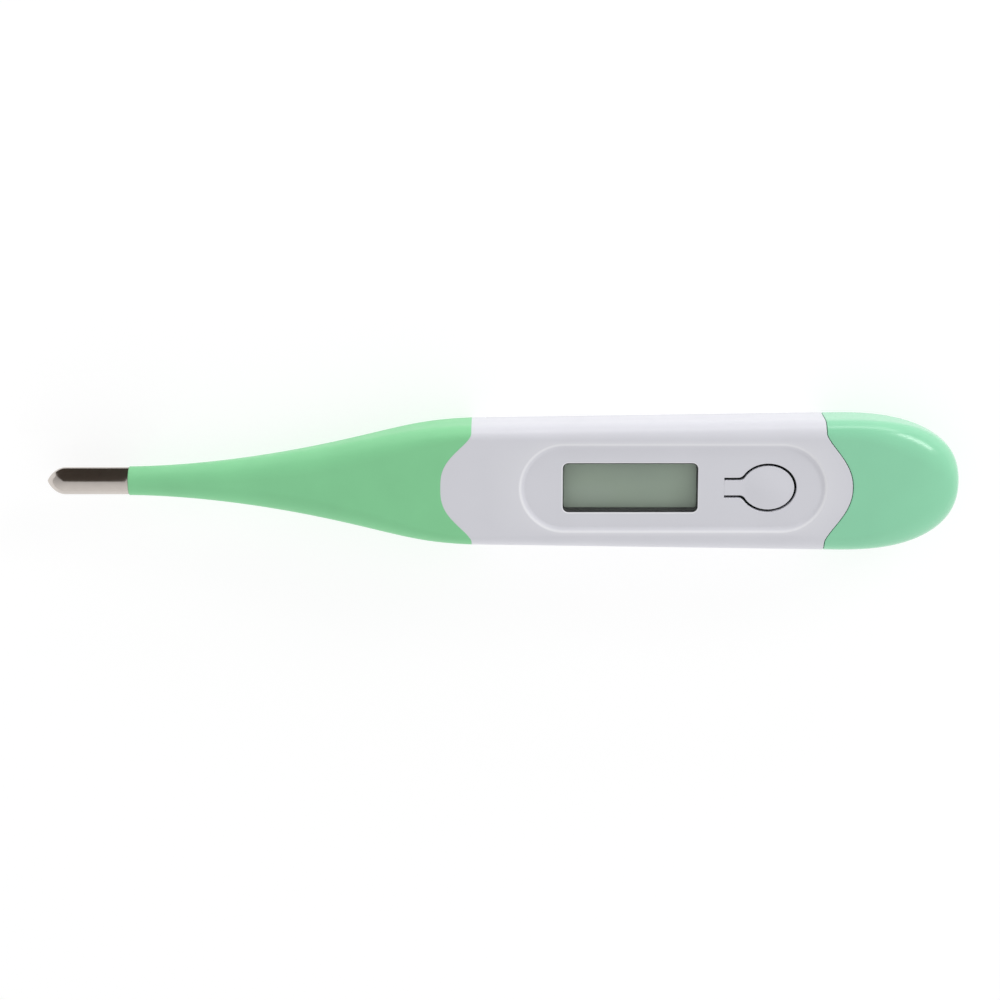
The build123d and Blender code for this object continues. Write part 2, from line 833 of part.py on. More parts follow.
with BuildPart() as battery:
    with BuildSketch(Plane.XY.offset(battery_z)):
        with Locations((battery_x, 0)):
            Circle(battery_diameter / 2)
    extrude(amount=battery_height)
    fillet(battery.edges().filter_by(GeomType.CIRCLE), radius=battery_edge)
save(battery, "battery")

half_strip = strip_height / 2
leg_x = board_rear_x - strip_leg_setback
with BuildPart() as positive_contact:
    with BuildSketch(side_plane):
        with BuildLine():
            Polyline(
                (leg_x - strip_foot, board_top_z + half_strip),
                (leg_x, board_top_z + half_strip),
                (leg_x, tray_top_z + strip_height),
                (tray_front_x + strip_ramp, tray_top_z + strip_height),
                (battery_x + strip_ramp, tray_top_z + half_strip + strip_press),
            )
        trace(line_width=strip_height)
    extrude(amount=strip_width / 2, both=True)
save(positive_contact, "positive_contact")

strip_floor_z = tray_floor_z + half_strip + strip_press
with BuildPart() as negative_contact:
    with BuildSketch(side_plane):
        with BuildLine():
            Polyline(
                (leg_x - strip_foot, board_z - half_strip),
                (cavity_rear_x, board_z - half_strip),
                (tray_front_x + strip_floor_start, strip_floor_z),
                (battery_x - strip_ramp, strip_floor_z),
                (battery_x + strip_tongue_end, battery_z - half_strip - strip_press),
            )
        trace(line_width=strip_height)
    extrude(amount=strip_width / 2, both=True)
save(negative_contact, "negative_contact")

with BuildPart() as battery_cover:
    add(envelope.part)
    with BuildSketch(under_plane):
        seam_region(rear_x + seam_gap, rear_bulge, right_x + beyond)
    extrude(amount=through, mode=Mode.INTERSECT)
    with BuildSketch(section_plane(cavity_rear_x)):
        RectangleRounded(
            2 * (spigot_half_width + spigot_clearance),
            2 * (spigot_half_height + spigot_clearance),
            spigot_corner + spigot_clearance,
        )
    extrude(
        amount=spigot_end_x + spigot_clearance - cavity_rear_x, mode=Mode.SUBTRACT
    )
save(battery_cover, "battery_cover")

with BuildPart() as cover_seal:
    with BuildSketch(section_plane(seal_x)) as seal_path:
        RectangleRounded(
            2 * (spigot_half_width - seal_depth),
            2 * (spigot_half_height - seal_depth),
            spigot_corner - seal_depth,
        )
    seal_line = seal_path.sketch.face().outer_wire()
    with BuildSketch(Plane(seal_line.location_at(0))) as seal_section:
        Circle(seal_diameter / 2)
    sweep(sections=seal_section.sketch, path=seal_line)
save(cover_seal, "cover_seal")

# --------------------------------------------------------------------------------------
# Solder
# --------------------------------------------------------------------------------------

solder_radius = solder_diameter / 2
wire_pads = [
    (wire_pad_x + solder_shift * solder_radius, side * solder_radius)
    for side in (-1, 1)
]
contact_pads = [
    (leg_x - strip_foot / 2, side * (strip_width / 2 + solder_radius)) for side in (-1, 1)
]
with BuildPart() as solder_joints:
    with BuildSketch(Plane.XY.offset(board_top_z)):
        with Locations(*wire_pads, *contact_pads):
            Circle(solder_radius)
    extrude(amount=solder_height, taper=30)
    with BuildSketch(Plane.XY.offset(board_z)):
        with Locations(*contact_pads):
            Circle(solder_radius)
    extrude(amount=-solder_height, taper=30)
save(solder_joints, "solder_joints")
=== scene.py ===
"""Looks of the flexible-tip thermometer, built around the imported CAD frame.

Lengths are in millimetres until they reach a mesh, where they become metres. X runs from
the steel probe (-X) to the battery cover (+X), Y is across the body and Z is up.
"""

import json
from math import asin, cos, pi, radians, sin, sqrt

import bmesh
import bpy
from mathutils import Matrix, Vector


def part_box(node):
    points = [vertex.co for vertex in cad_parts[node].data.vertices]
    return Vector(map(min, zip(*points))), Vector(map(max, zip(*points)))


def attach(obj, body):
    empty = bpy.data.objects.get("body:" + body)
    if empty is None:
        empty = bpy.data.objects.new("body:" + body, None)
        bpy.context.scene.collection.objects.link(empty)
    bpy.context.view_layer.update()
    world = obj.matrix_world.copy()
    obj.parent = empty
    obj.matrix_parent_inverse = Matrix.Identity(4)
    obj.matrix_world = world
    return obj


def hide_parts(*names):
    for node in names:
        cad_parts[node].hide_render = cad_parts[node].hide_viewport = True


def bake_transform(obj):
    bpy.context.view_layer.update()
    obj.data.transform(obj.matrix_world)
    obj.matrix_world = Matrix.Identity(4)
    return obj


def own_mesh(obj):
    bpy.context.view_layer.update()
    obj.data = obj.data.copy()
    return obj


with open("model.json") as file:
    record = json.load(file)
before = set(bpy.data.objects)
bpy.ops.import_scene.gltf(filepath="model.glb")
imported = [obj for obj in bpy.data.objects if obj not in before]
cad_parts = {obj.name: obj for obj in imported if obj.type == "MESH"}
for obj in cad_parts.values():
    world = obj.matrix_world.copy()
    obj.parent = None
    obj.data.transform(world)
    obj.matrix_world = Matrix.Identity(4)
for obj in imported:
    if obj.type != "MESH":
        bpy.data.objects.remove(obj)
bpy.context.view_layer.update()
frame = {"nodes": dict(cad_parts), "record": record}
MM = 0.001


def low(node):
    """Lowest corner of a CAD node, in millimetres."""
    return [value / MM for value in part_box(node)[0]]


def high(node):
    """Highest corner of a CAD node, in millimetres."""
    return [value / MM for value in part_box(node)[1]]


# --------------------------------------------------------------------------------------
# Camera
# --------------------------------------------------------------------------------------

CAMERA_TILT = radians(13)  # from straight above, towards +Y
CAMERA_LENS = 100.0
CAMERA_SENSOR = 36.0
VIEW_WIDTH = 142.9
AIM = Vector((-0.36, -2.69, 5.72))
CAMERA_CLIP = 0.01  # in metres

camera_data = bpy.data.cameras.new("camera")
camera_data.lens = CAMERA_LENS
camera_data.sensor_width = CAMERA_SENSOR
camera_data.clip_start = CAMERA_CLIP
camera = bpy.data.objects.new("camera", camera_data)
bpy.context.scene.collection.objects.link(camera)
toward = Vector((0, sin(CAMERA_TILT), cos(CAMERA_TILT)))
upward = Vector((0, cos(CAMERA_TILT), -sin(CAMERA_TILT)))
distance = VIEW_WIDTH * CAMERA_LENS / CAMERA_SENSOR
turn = Matrix((Vector((1, 0, 0)), upward, toward)).transposed().to_4x4()
camera.matrix_world = Matrix.Translation((AIM + toward * distance) * MM) @ turn
bpy.context.scene.camera = camera
bpy.context.scene.view_settings.view_transform = "Standard"

# --------------------------------------------------------------------------------------
# Places read from the frame, in millimetres
# --------------------------------------------------------------------------------------

LEFT_X = low("probe_tip")[0]
SHOULDER_X = low("flexible_stem")[0]
RIGHT_X = high("battery_cover")[0]
TOP_Z = high("front_housing")[2]
MID_Z = TOP_Z / 2
TIP_RADIUS = (high("probe_tip")[1] - low("probe_tip")[1]) / 2
REAR_HALF = high("battery_cover")[1]
NECK_X = high("probe_tip")[0]
SPIGOT_END = high("front_housing")[0]
GROOVE_X = (low("cover_seal")[0] + high("cover_seal")[0]) / 2
PAN_Z = 2.55  # top of the back cover's sides
COVER_GAP = 0.1
FRONT_X = high("flexible_stem")[0]
REAR_X = low("battery_cover")[0] - COVER_GAP
FRONT_HALF = high("flexible_stem")[1]
DOME_LENGTH = 16.9
DOME_X = RIGHT_X - DOME_LENGTH
FLAT_HALF = 6.95  # half width of the flat face; the side rounds off outside it
CORNER_HEIGHT = 2.6
SEAM_HALF = 7.9  # half width of the seams' bulge
SKIN_HALF = MID_Z + 0.02

WINDOW_X = (high("display_lens")[0] + low("display_lens")[0]) / 2
BUTTON_AXES = (3.7, 3.14)
BUTTON_X = high("button")[0] - BUTTON_AXES[0]
SLOT = 0.35
TONGUE_HALF = 1.1
HINGE_SETBACK = 0.1  # from the shell's slot to the CAD button
HINGE_X = low("button")[0] - HINGE_SETBACK
LENS_TOP = high("display_lens")[2]
LENS_DEPTH = 0.1  # how far the lens sits below the recess's floor
FLOOR_Z = LENS_TOP + LENS_DEPTH  # floor of the recess
INNER_Z = high("lens_gasket")[2]  # inner face of the shell
WINDOW_HALF = (9.55, 3.55)
WINDOW_CORNER = 0.8
RECESS_HALF = 6.5
RECESS_FRONT = 2.25
RECESS_REAR = 45.9
PAN_GAP = 0.05
CAVITY_FRONT = low("back_cover")[0] - PAN_GAP
CAVITY_REAR = high("back_cover")[0] + PAN_GAP

# --------------------------------------------------------------------------------------
# Outer section and seams
# --------------------------------------------------------------------------------------


STEM_WALL = 0.1  # how far the stem stands proud of the probe
SWELL_RISE = 1.25
SWELL_POWER = 1.75
SWELL_ROUNDING = 8
RISE_POWER = 0.85  # the stem gets thick a little sooner than it gets wide
STEM_ROUND = 0.98  # corners' share of the section at the probe, where it is almost round
STEM_LOSS_WIDE = 0.783  # share that the corners lose in width on the way to the housing
STEM_LOSS_TALL = 0.47
DOME_LIMIT = 0.9986  # the skin is followed to just short of the dome's very end
DOME_POWER_WIDE = 2.5
DOME_POWER_TALL = 3.2
DOME_ROUND = 0.96  # corners' share of the section at the dome's end


def swell(share):
    """The stem's swelling: a power curve with a rounded top."""
    rise = SWELL_RISE * share**SWELL_POWER
    return rise / (1 + rise**SWELL_ROUNDING) ** (1 / SWELL_ROUNDING)


def skin(x):
    """Half width, half height, corner width and corner height of the outside at x."""
    if x < FRONT_X:
        share = max(0.0, (x - SHOULDER_X) / (FRONT_X - SHOULDER_X))
        growth = swell(share) / swell(1)
        start = TIP_RADIUS + STEM_WALL
        half = start + growth * (FRONT_HALF - start)
        rise = min(MID_Z, start + growth**RISE_POWER * (SKIN_HALF - start))
        wide = half * (STEM_ROUND - STEM_LOSS_WIDE * growth)
        return half, rise, wide, rise * (STEM_ROUND - STEM_LOSS_TALL * growth)
    if x < DOME_X:
        share = (x - FRONT_X) / (DOME_X - FRONT_X)
        half = FRONT_HALF + share * (REAR_HALF - FRONT_HALF)
        return half, MID_Z, half - FLAT_HALF, CORNER_HEIGHT
    share = min(DOME_LIMIT, (x - DOME_X) / DOME_LENGTH * DOME_LIMIT)
    half = REAR_HALF * (1 - share**DOME_POWER_WIDE) ** (1 / DOME_POWER_WIDE)
    rise = min(MID_Z, SKIN_HALF * (1 - share**DOME_POWER_TALL) ** (1 / DOME_POWER_TALL))
    bend = share**2
    wide = 1 - FLAT_HALF / REAR_HALF
    tall = CORNER_HEIGHT / MID_Z
    wide += bend * (DOME_ROUND - wide)
    tall += bend * (DOME_ROUND - tall)
    return half, rise, half * wide, rise * tall


FLAT_STEPS = 24
CORNER_STEPS = 14
SIDE_STEPS = 3
QUARTER = FLAT_STEPS + CORNER_STEPS + SIDE_STEPS
AROUND = 4 * QUARTER
HOLD = 0.03  # a row this far from an edge keeps its shading tight


def section(half, rise, wide, tall):
    """Points (y, z) round a section with elliptical corners, from the top middle to +Y."""
    flat, side = half - wide, rise - tall
    hold = min(HOLD, flat / 50)
    quarter = []
    for step in range(FLAT_STEPS):
        quarter.append(((flat - hold) * step / (FLAT_STEPS - 1), rise))
    for step in range(CORNER_STEPS + 1):
        angle = pi / 2 * step / CORNER_STEPS
        quarter.append((flat + wide * sin(angle), side + tall * cos(angle)))
    for step in range(1, SIDE_STEPS + 1):
        quarter.append((half, side * (1 - step / SIDE_STEPS)))
    ring = list(quarter)
    ring += [(y, -z) for y, z in reversed(quarter[:-1])]
    ring += [(-y, -z) for y, z in quarter[1:]]
    ring += [(-y, z) for y, z in reversed(quarter[1:-1])]
    return ring


def seam(y, side_x, bulge, fullness, flare):
    """X of a seam at y: a round middle that runs out smoothly into the sides."""
    share = min(1.0, abs(y) / SEAM_HALF)
    return side_x + bulge * (1 - share**fullness) ** flare


FRONT_SEAM = (-4.4, 2.8, 1.9)  # bulge, fullness and flare
REAR_SEAM = (3.85, 2.2, 1.6)
SEAM_STEPS = 14  # each halves the distance that is left to the seam


def front_seam(y):
    return seam(y, FRONT_X, *FRONT_SEAM)


def rear_seam(y):
    return seam(y, REAR_X, *REAR_SEAM)


def skin_point(column, x):
    """Y and z, from the middle of the section, of a column of the skin at x."""
    return section(*skin(x))[column]


def on_seam(curve, shift=0.0):
    """Where each column of the skin meets a seam."""
    found = []
    for column in range(AROUND):
        x = curve(0)
        for _ in range(SEAM_STEPS):
            y = skin_point(column, x)[0]
            x = 0.5 * x + 0.5 * (curve(y) + shift)
        found.append(x)
    return found


# --------------------------------------------------------------------------------------
# Mesh helpers
# --------------------------------------------------------------------------------------


class Shape:
    """A mesh in the making. Its points are given in millimetres."""

    def __init__(self):
        self.mesh = bmesh.new()
        # The rim layer holds the weight of the painted highlight along edges
        self.rim = self.mesh.verts.layers.float.new("rim")

    def ring(self, points, rim=0.0):
        """A row of points; rim is how much the material brightens them, a painted highlight
        along an edge.
        """
        made = [self.mesh.verts.new((x * MM, y * MM, z * MM)) for x, y, z in points]
        for vertex in made:
            vertex[self.rim] = rim
        return made

    def face(self, *corners):
        """A face, unless two of its corners are one point or it is there already."""
        try:
            self.mesh.faces.new(corners)
        except ValueError:
            pass

    def strip(self, one, two, closed=True):
        """Quads between two rows of points."""
        last = len(one) if closed else len(one) - 1
        for i in range(last):
            j = (i + 1) % len(one)
            self.face(one[i], one[j], two[j], two[i])

    def strips(self, rings, closed=True):
        for one, two in zip(rings, rings[1:]):
            self.strip(one, two, closed)

    def cap(self, ring):
        """A fan that closes a ring on its middle."""
        middle = sum((v.co for v in ring), Vector()) / len(ring)
        centre = self.mesh.verts.new(middle)
        for i, corner in enumerate(ring):
            self.face(corner, ring[(i + 1) % len(ring)], centre)

    def fill(self, *loops):
        """A flat face bounded by the first loop, with the other loops as holes."""
        edges = []
        for loop in loops:
            for i, corner in enumerate(loop):
                other = loop[(i + 1) % len(loop)]
                edge = self.mesh.edges.get((corner, other))
                edges.append(edge or self.mesh.edges.new((corner, other)))
        bmesh.ops.triangle_fill(
            self.mesh, use_beauty=True, use_dissolve=False, edges=edges, normal=(0, 0, 1)
        )

    def sharpen(self, row):
        """Marks the edges along an open row as sharp."""
        for one, two in zip(row, row[1:]):
            edge = self.mesh.edges.get((one, two))
            if edge:
                edge.smooth = False

    def finish(self, name, slot, body, *nodes):
        """Make the object in the slot's material; it rides on the body unless that is None."""
        loose = [v for v in self.mesh.verts if not v.link_faces]
        bmesh.ops.delete(self.mesh, geom=loose, context="VERTS")
        bmesh.ops.recalc_face_normals(self.mesh, faces=self.mesh.faces[:])
        data = bpy.data.meshes.new(name)
        self.mesh.to_mesh(data)
        self.mesh.free()
        for polygon in data.polygons:
            polygon.use_smooth = True
        data.materials.append(material_of(slot))
        made = bpy.data.objects.new(name, data)
        bpy.context.scene.collection.objects.link(made)
        if nodes:
            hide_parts(*nodes)
        if body:
            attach(made, body)
        return made


NO_LENGTH = 1e-9


def inset_ring(x_of, points, inset):
    """A section's points moved inward along their normals; x_of gives each one's X."""
    count = len(points)
    moved = []
    for i, (y, z) in enumerate(points):
        before, after = points[i - 1], points[(i + 1) % count]
        dy, dz = after[0] - before[0], after[1] - before[1]
        size = max(NO_LENGTH, sqrt(dy * dy + dz * dz))
        moved.append((x_of[i], y + inset * dz / size, z - inset * dy / size + MID_Z))
    return moved


def skin_ring(xs, inset=0.0):
    """A ring on the skin through each column's own X; inset moves it inward."""
    points = [skin_point(column, x) for column, x in enumerate(xs)]
    return inset_ring(xs, points, inset)


EDGE_STEPS = 4


def edge_rows(xs, away, radius):
    """Rings that round an edge at xs; away is +1 where the skin runs towards +X."""
    rows = []
    for step in range(EDGE_STEPS + 1):
        angle = pi / 2 * (1 - step / EDGE_STEPS)
        shift = away * radius * (1 - sin(angle))
        rows.append(skin_ring([x + shift for x in xs], radius * (1 - cos(angle))))
    return rows


def between(start, end, share):
    """A row of X values at a share of the way from start to end."""
    return [a + share * (b - a) for a, b in zip(start, end)]


def lathe(shape, profile, axis, steps=64):
    """Rings of a turned profile; axis maps (along, radius, angle) to a point."""
    rings = []
    for along, radius in profile:
        rings.append(
            shape.ring([axis(along, radius, 2 * pi * i / steps) for i in range(steps)])
        )
    shape.strips(rings)
    return rings


def along_x(along, radius, angle):
    return along, radius * sin(angle), MID_Z + radius * cos(angle)


# --------------------------------------------------------------------------------------
# Materials
# --------------------------------------------------------------------------------------


def srgb(red, green, blue):
    """Linear colour of an 8-bit display colour."""
    values = []
    for value in (red, green, blue):
        value /= 255
        values.append(value / 12.92 if value < 0.04045 else ((value + 0.055) / 1.055) ** 2.4)
    return (*values, 1.0)


def shade(colour, factor):
    return tuple(min(1.0, value * factor) for value in colour[:3]) + (1.0,)


NOISE_LOW, NOISE_HIGH = 0.3, 0.7  # nearly all of a noise's values lie between these


class Finish:
    """A node material built around one Principled shader."""

    def __init__(self, name):
        self.material = bpy.data.materials.new(name)
        self.material.use_nodes = True
        self.nodes = self.material.node_tree.nodes
        self.links = self.material.node_tree.links
        self.shader = self.nodes["Principled BSDF"]
        self.place = self.nodes.new("ShaderNodeTexCoord")
        self.bumps = None

    def set(self, **sockets):
        """Uniform values, by the shader's socket names with _ for each space."""
        for name, value in sockets.items():
            self.shader.inputs[name.replace("_", " ")].default_value = value

    def noise(self, scale, detail=2.0, stretch=None):
        """A noise texture's output; scale is in features per metre."""
        texture = self.nodes.new("ShaderNodeTexNoise")
        texture.inputs["Scale"].default_value = scale
        texture.inputs["Detail"].default_value = detail
        source = self.place.outputs["Object"]
        if stretch:
            mapping = self.nodes.new("ShaderNodeMapping")
            mapping.inputs["Scale"].default_value = stretch
            self.links.new(source, mapping.inputs["Vector"])
            source = mapping.outputs["Vector"]
        self.links.new(source, texture.inputs["Vector"])
        return texture.outputs["Fac"]

    def ramp(self, source, *stops):
        """Colours by value; each stop is a position and a colour."""
        node = self.nodes.new("ShaderNodeValToRGB")
        while len(node.color_ramp.elements) < len(stops):
            node.color_ramp.elements.new(0.5)
        for element, (position, colour) in zip(node.color_ramp.elements, stops):
            element.position = position
            element.color = colour
        self.links.new(source, node.inputs["Fac"])
        return node.outputs["Color"]

    def span(self, source, start, end):
        """Stretches a noise over the values from start to end."""
        node = self.nodes.new("ShaderNodeMapRange")
        node.inputs["From Min"].default_value = NOISE_LOW
        node.inputs["From Max"].default_value = NOISE_HIGH
        node.inputs["To Min"].default_value = start
        node.inputs["To Max"].default_value = end
        self.links.new(source, node.inputs["Value"])
        return node.outputs["Result"]

    def bump(self, source, depth, strength=1.0):
        """Adds relief; depth is in metres."""
        node = self.nodes.new("ShaderNodeBump")
        node.inputs["Distance"].default_value = depth
        node.inputs["Strength"].default_value = strength
        self.links.new(source, node.inputs["Height"])
        if self.bumps:
            self.links.new(self.bumps, node.inputs["Normal"])
        self.bumps = node.outputs["Normal"]
        self.links.new(self.bumps, self.shader.inputs["Normal"])

    def colour(self, source):
        self.links.new(source, self.shader.inputs["Base Color"])

    def rough(self, source):
        self.links.new(source, self.shader.inputs["Roughness"])


def moulded(name, colour, roughness, spread=0.05, mottle=0.035, grain=9000, relief=1.5e-6):
    """Moulded plastic or rubber: slight mottling, uneven gloss, fine grain and flow marks."""
    made = Finish(name)
    made.colour(
        made.ramp(
            made.noise(140, 4.0),
            (0.3, shade(colour, 1 - mottle)),
            (0.5, colour),
            (0.72, shade(colour, 1 + mottle)),
        )
    )
    made.rough(made.span(made.noise(600, 3.0), roughness - spread, roughness + spread))
    made.bump(made.noise(grain, 2.0), relief)
    made.bump(made.noise(260, 2.0, stretch=(0.35, 1, 1)), 2 * relief, 0.5)
    return made


def metal(name, colour, roughness, stretch=(0.05, 1, 1), scale=5000, relief=1.0e-6):
    """Bare metal with drawn lines and a few duller patches."""
    made = Finish(name)
    made.set(Metallic=1.0)
    made.colour(
        made.ramp(made.noise(180, 4.0), (0.3, shade(colour, 0.88)), (0.7, shade(colour, 1.06)))
    )
    made.rough(made.span(made.noise(900, 3.0, stretch), roughness * 0.75, roughness * 1.35))
    made.bump(made.noise(scale, 2.0, stretch), relief)
    return made


STEM_GREEN = srgb(137, 215, 157)
COVER_GREEN = srgb(144, 219, 177)
WHITE = srgb(222, 222, 229)

# Colour of the painted highlight along the white plastic's edges
PAINTED_HIGHLIGHT_WHITE = srgb(244, 244, 248)
EVEN = (1, 1, 1)

finishes = {}

stem_finish = moulded(
    "stem_elastomer", STEM_GREEN, 0.5, spread=0.06, mottle=0.03, grain=7000, relief=3.0e-6
)
stem_finish.set(Specular_IOR_Level=0.35, Sheen_Weight=0.08, Sheen_Roughness=0.5)
finishes["stem_elastomer"] = stem_finish
cover_finish = moulded("mint_abs", COVER_GREEN, 0.24, spread=0.02, mottle=0.02, relief=0.25e-6)
cover_finish.set(Specular_IOR_Level=0.5, Coat_Weight=0.25, Coat_Roughness=0.12)
finishes["mint_abs"] = cover_finish

# White plastic with a painted highlight mixed into its colour where a piece's rim attribute
# marks an edge
white_finish = moulded("white_abs", WHITE, 0.36, mottle=0.012, relief=1.4e-6)
white_finish.set(Specular_IOR_Level=0.45)
white_highlight_mask = white_finish.nodes.new("ShaderNodeAttribute")
white_highlight_mask.attribute_name = "rim"
white_highlight_mix = white_finish.nodes.new("ShaderNodeMix")
white_highlight_mix.data_type = "RGBA"
white_highlight_mix.inputs["B"].default_value = PAINTED_HIGHLIGHT_WHITE
white_base = white_finish.shader.inputs["Base Color"].links[0].from_socket
white_finish.links.new(white_highlight_mask.outputs["Fac"], white_highlight_mix.inputs["Factor"])
white_finish.links.new(white_base, white_highlight_mix.inputs["A"])
white_finish.colour(white_highlight_mix.outputs["Result"])
finishes["white_abs"] = white_finish

for name, colour, roughness in (
    ("adhesive", (36, 36, 38), 0.6),
    ("silicone", (70, 70, 74), 0.6),
    ("reflector", (150, 158, 148), 0.5),
    ("zebra", (60, 60, 66), 0.55),
    ("frame_plastic", (214, 214, 214), 0.5),
    ("resin", (22, 22, 24), 0.2),
    ("epoxy", (120, 110, 96), 0.15),
    ("ceramic", (206, 200, 186), 0.35),
    ("chip_black", (30, 30, 32), 0.4),
    ("wire", (190, 50, 40), 0.35),
    ("sleeve", (225, 220, 205), 0.4),
):
    finishes[name] = moulded(name, srgb(*colour), roughness)
finishes["display_glass"] = moulded("display_glass", srgb(150, 160, 148), 0.08, spread=0.02)
for name, colour, roughness, spread, mottle, grain in (
    ("carbon", (28, 28, 30), 0.75, 0.05, 0.2, 12000),
    ("seal_rubber", (45, 45, 48), 0.5, 0.08, 0.15, 6000),
    ("board", (22, 98, 54), 0.3, 0.06, 0.1, 3000),
):
    finishes[name] = moulded(name, srgb(*colour), roughness, spread, mottle, grain, 4e-6)

finishes["steel"] = metal("steel", (0.62, 0.57, 0.53, 1), 0.2)
finishes["steel"].set(Anisotropic=0.3)
finishes["tin"] = metal("tin", (0.78, 0.77, 0.75, 1), 0.28, EVEN)
finishes["brass"] = metal("brass", (0.75, 0.56, 0.25, 1), 0.25, EVEN)
finishes["nickel"] = metal("nickel", (0.72, 0.7, 0.66, 1), 0.22, EVEN)

film_finish = Finish("film")
film_finish.colour(
    film_finish.ramp(
        film_finish.noise(70, 2.0, (0.5, 1, 1)),
        (0.3, srgb(162, 173, 163)),
        (0.52, srgb(168, 179, 166)),
        (0.75, srgb(172, 179, 175)),
    )
)
film_finish.rough(film_finish.span(film_finish.noise(700, 3.0), 0.28, 0.4))
film_finish.bump(film_finish.noise(12000, 2.0), 1e-6)
finishes["film"] = film_finish

# Clear plastic: see-through, mirroring more at a glancing angle
LENS_TINT = (0.96, 0.985, 0.965, 1)
LENS_MIRROR = 0.035  # share mirrored when seen straight on
LENS_FALLOFF = 5.0
LENS_RELIEF = 1e-6

lens_finish = Finish("clear_plastic")
lens_finish.nodes.remove(lens_finish.shader)
lens_clear = lens_finish.nodes.new("ShaderNodeBsdfTransparent")
lens_clear.inputs["Color"].default_value = LENS_TINT
lens_gloss = lens_finish.nodes.new("ShaderNodeBsdfGlossy")
lens_facing = lens_finish.nodes.new("ShaderNodeLayerWeight")
lens_facing.inputs["Blend"].default_value = 0.5
lens_falloff = lens_finish.nodes.new("ShaderNodeMath")
lens_falloff.operation = "POWER"
lens_falloff.inputs[1].default_value = LENS_FALLOFF
lens_mirror = lens_finish.nodes.new("ShaderNodeMath")
lens_mirror.operation = "MULTIPLY_ADD"
lens_mirror.inputs[1].default_value = 0.96
lens_mirror.inputs[2].default_value = LENS_MIRROR
lens_mix = lens_finish.nodes.new("ShaderNodeMixShader")
lens_relief = lens_finish.nodes.new("ShaderNodeBump")
lens_relief.inputs["Distance"].default_value = LENS_RELIEF
lens_haze = lens_finish.span(lens_finish.noise(900, 3.0), 0.03, 0.09)
lens_output = lens_finish.nodes["Material Output"]
for source, socket in (
    (lens_facing.outputs["Facing"], lens_falloff.inputs[0]),
    (lens_falloff.outputs["Value"], lens_mirror.inputs[0]),
    (lens_finish.noise(500), lens_relief.inputs["Height"]),
    (lens_relief.outputs["Normal"], lens_gloss.inputs["Normal"]),
    (lens_haze, lens_gloss.inputs["Roughness"]),
    (lens_mirror.outputs["Value"], lens_mix.inputs["Fac"]),
    (lens_clear.outputs["BSDF"], lens_mix.inputs[1]),
    (lens_gloss.outputs["BSDF"], lens_mix.inputs[2]),
    (lens_mix.outputs["Shader"], lens_output.inputs["Surface"]),
):
    lens_finish.links.new(source, socket)
finishes["clear_plastic"] = lens_finish


def material_of(slot):
    return finishes[slot].material


# The CAD's own shapes keep their slots
node_slots = {}
for subpart in frame["record"].get("subparts", []):
    node_slots[subpart.get("node") or subpart.get("name")] = subpart.get("material")
for name, node in frame["nodes"].items():
    for place in node.material_slots:
        slot_name = place.material.name.split(".")[0] if place.material else None
        place.material = material_of(slot_name if slot_name in finishes else node_slots[name])

# --------------------------------------------------------------------------------------
# Stem
# --------------------------------------------------------------------------------------

EDGE = 0.1
MOULDED_EDGE = 0.03  # where the soft stem is moulded onto the housing
TIP_DEPTH = 0.45  # how far the stem's end face runs in to the probe's neck
SEAM_DEPTH = 1.4  # how far the walls of the stem's seam with the housing run in
STEM_ROWS = 120

front_xs = on_seam(front_seam)
tip_xs = [SHOULDER_X] * AROUND

shape = Shape()
rings = [shape.ring(skin_ring(tip_xs, TIP_DEPTH))]
rings += [shape.ring(row) for row in edge_rows(tip_xs, 1, EDGE)]
tip_end = [x + EDGE for x in tip_xs]
stem_end = [x - MOULDED_EDGE for x in front_xs]
for step in range(1, STEM_ROWS):
    rings.append(shape.ring(skin_ring(between(tip_end, stem_end, step / STEM_ROWS))))
rings += [shape.ring(row) for row in reversed(edge_rows(front_xs, -1, MOULDED_EDGE))]
rings.append(shape.ring(skin_ring(front_xs, SEAM_DEPTH)))
shape.strips(rings)
stem = shape.finish("stem", "stem_elastomer", None, "flexible_stem")
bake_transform(stem)

# --------------------------------------------------------------------------------------
# Housing
# --------------------------------------------------------------------------------------


END_STEPS, RUN_STEPS = 48, 24  # of the recess's round ends and straight sides
BEND_STEPS, STRAIGHT_STEPS = 8, 12  # of a rounded rectangle's corners and sides


def stadium(inset, z):
    """The recess's outline: straight sides and round ends."""
    radius = RECESS_HALF - inset
    front, rear = RECESS_FRONT + RECESS_HALF, RECESS_REAR - RECESS_HALF
    points = []
    for start, end, from_angle, side in ((front, rear, pi / 2, -1), (rear, front, -pi / 2, 1)):
        for step in range(END_STEPS + 1):
            angle = from_angle + pi * step / END_STEPS
            points.append((start + radius * cos(angle), radius * sin(angle), z))
        for step in range(1, RUN_STEPS):
            points.append((start + (end - start) * step / RUN_STEPS, side * radius, z))
    return points


def rounded(centre_x, half_x, half_y, corner, z):
    """A rounded rectangle's outline."""
    run_x, run_y = half_x - corner, half_y - corner
    sides_end = (
        (centre_x - run_x, half_y),
        (centre_x - half_x, -run_y),
        (centre_x + run_x, -half_y),
        (centre_x + half_x, run_y),
    )
    points = []
    for quarter, (sx, sy) in enumerate(((1, 1), (-1, 1), (-1, -1), (1, -1))):
        for step in range(BEND_STEPS + 1):
            angle = pi / 2 * quarter + pi / 2 * step / BEND_STEPS
            x = centre_x + sx * run_x + corner * cos(angle)
            points.append((x, sy * run_y + corner * sin(angle), z))
        start, end = points[-1], sides_end[quarter]
        for step in range(1, STRAIGHT_STEPS):
            share = step / STRAIGHT_STEPS
            x = start[0] + share * (end[0] - start[0])
            points.append((x, start[1] + share * (end[1] - start[1]), z))
    return points


BEND_LEAD = 0.2  # angle along the key's edge at which the bend into the tongue ends
BEND_RUN = 0.55  # length of the tongue's side that the bend takes up
TONGUE_STEPS, TONGUE_BEND_STEPS, KEY_STEPS, ROOT_STEPS = 12, 9, 48, 8


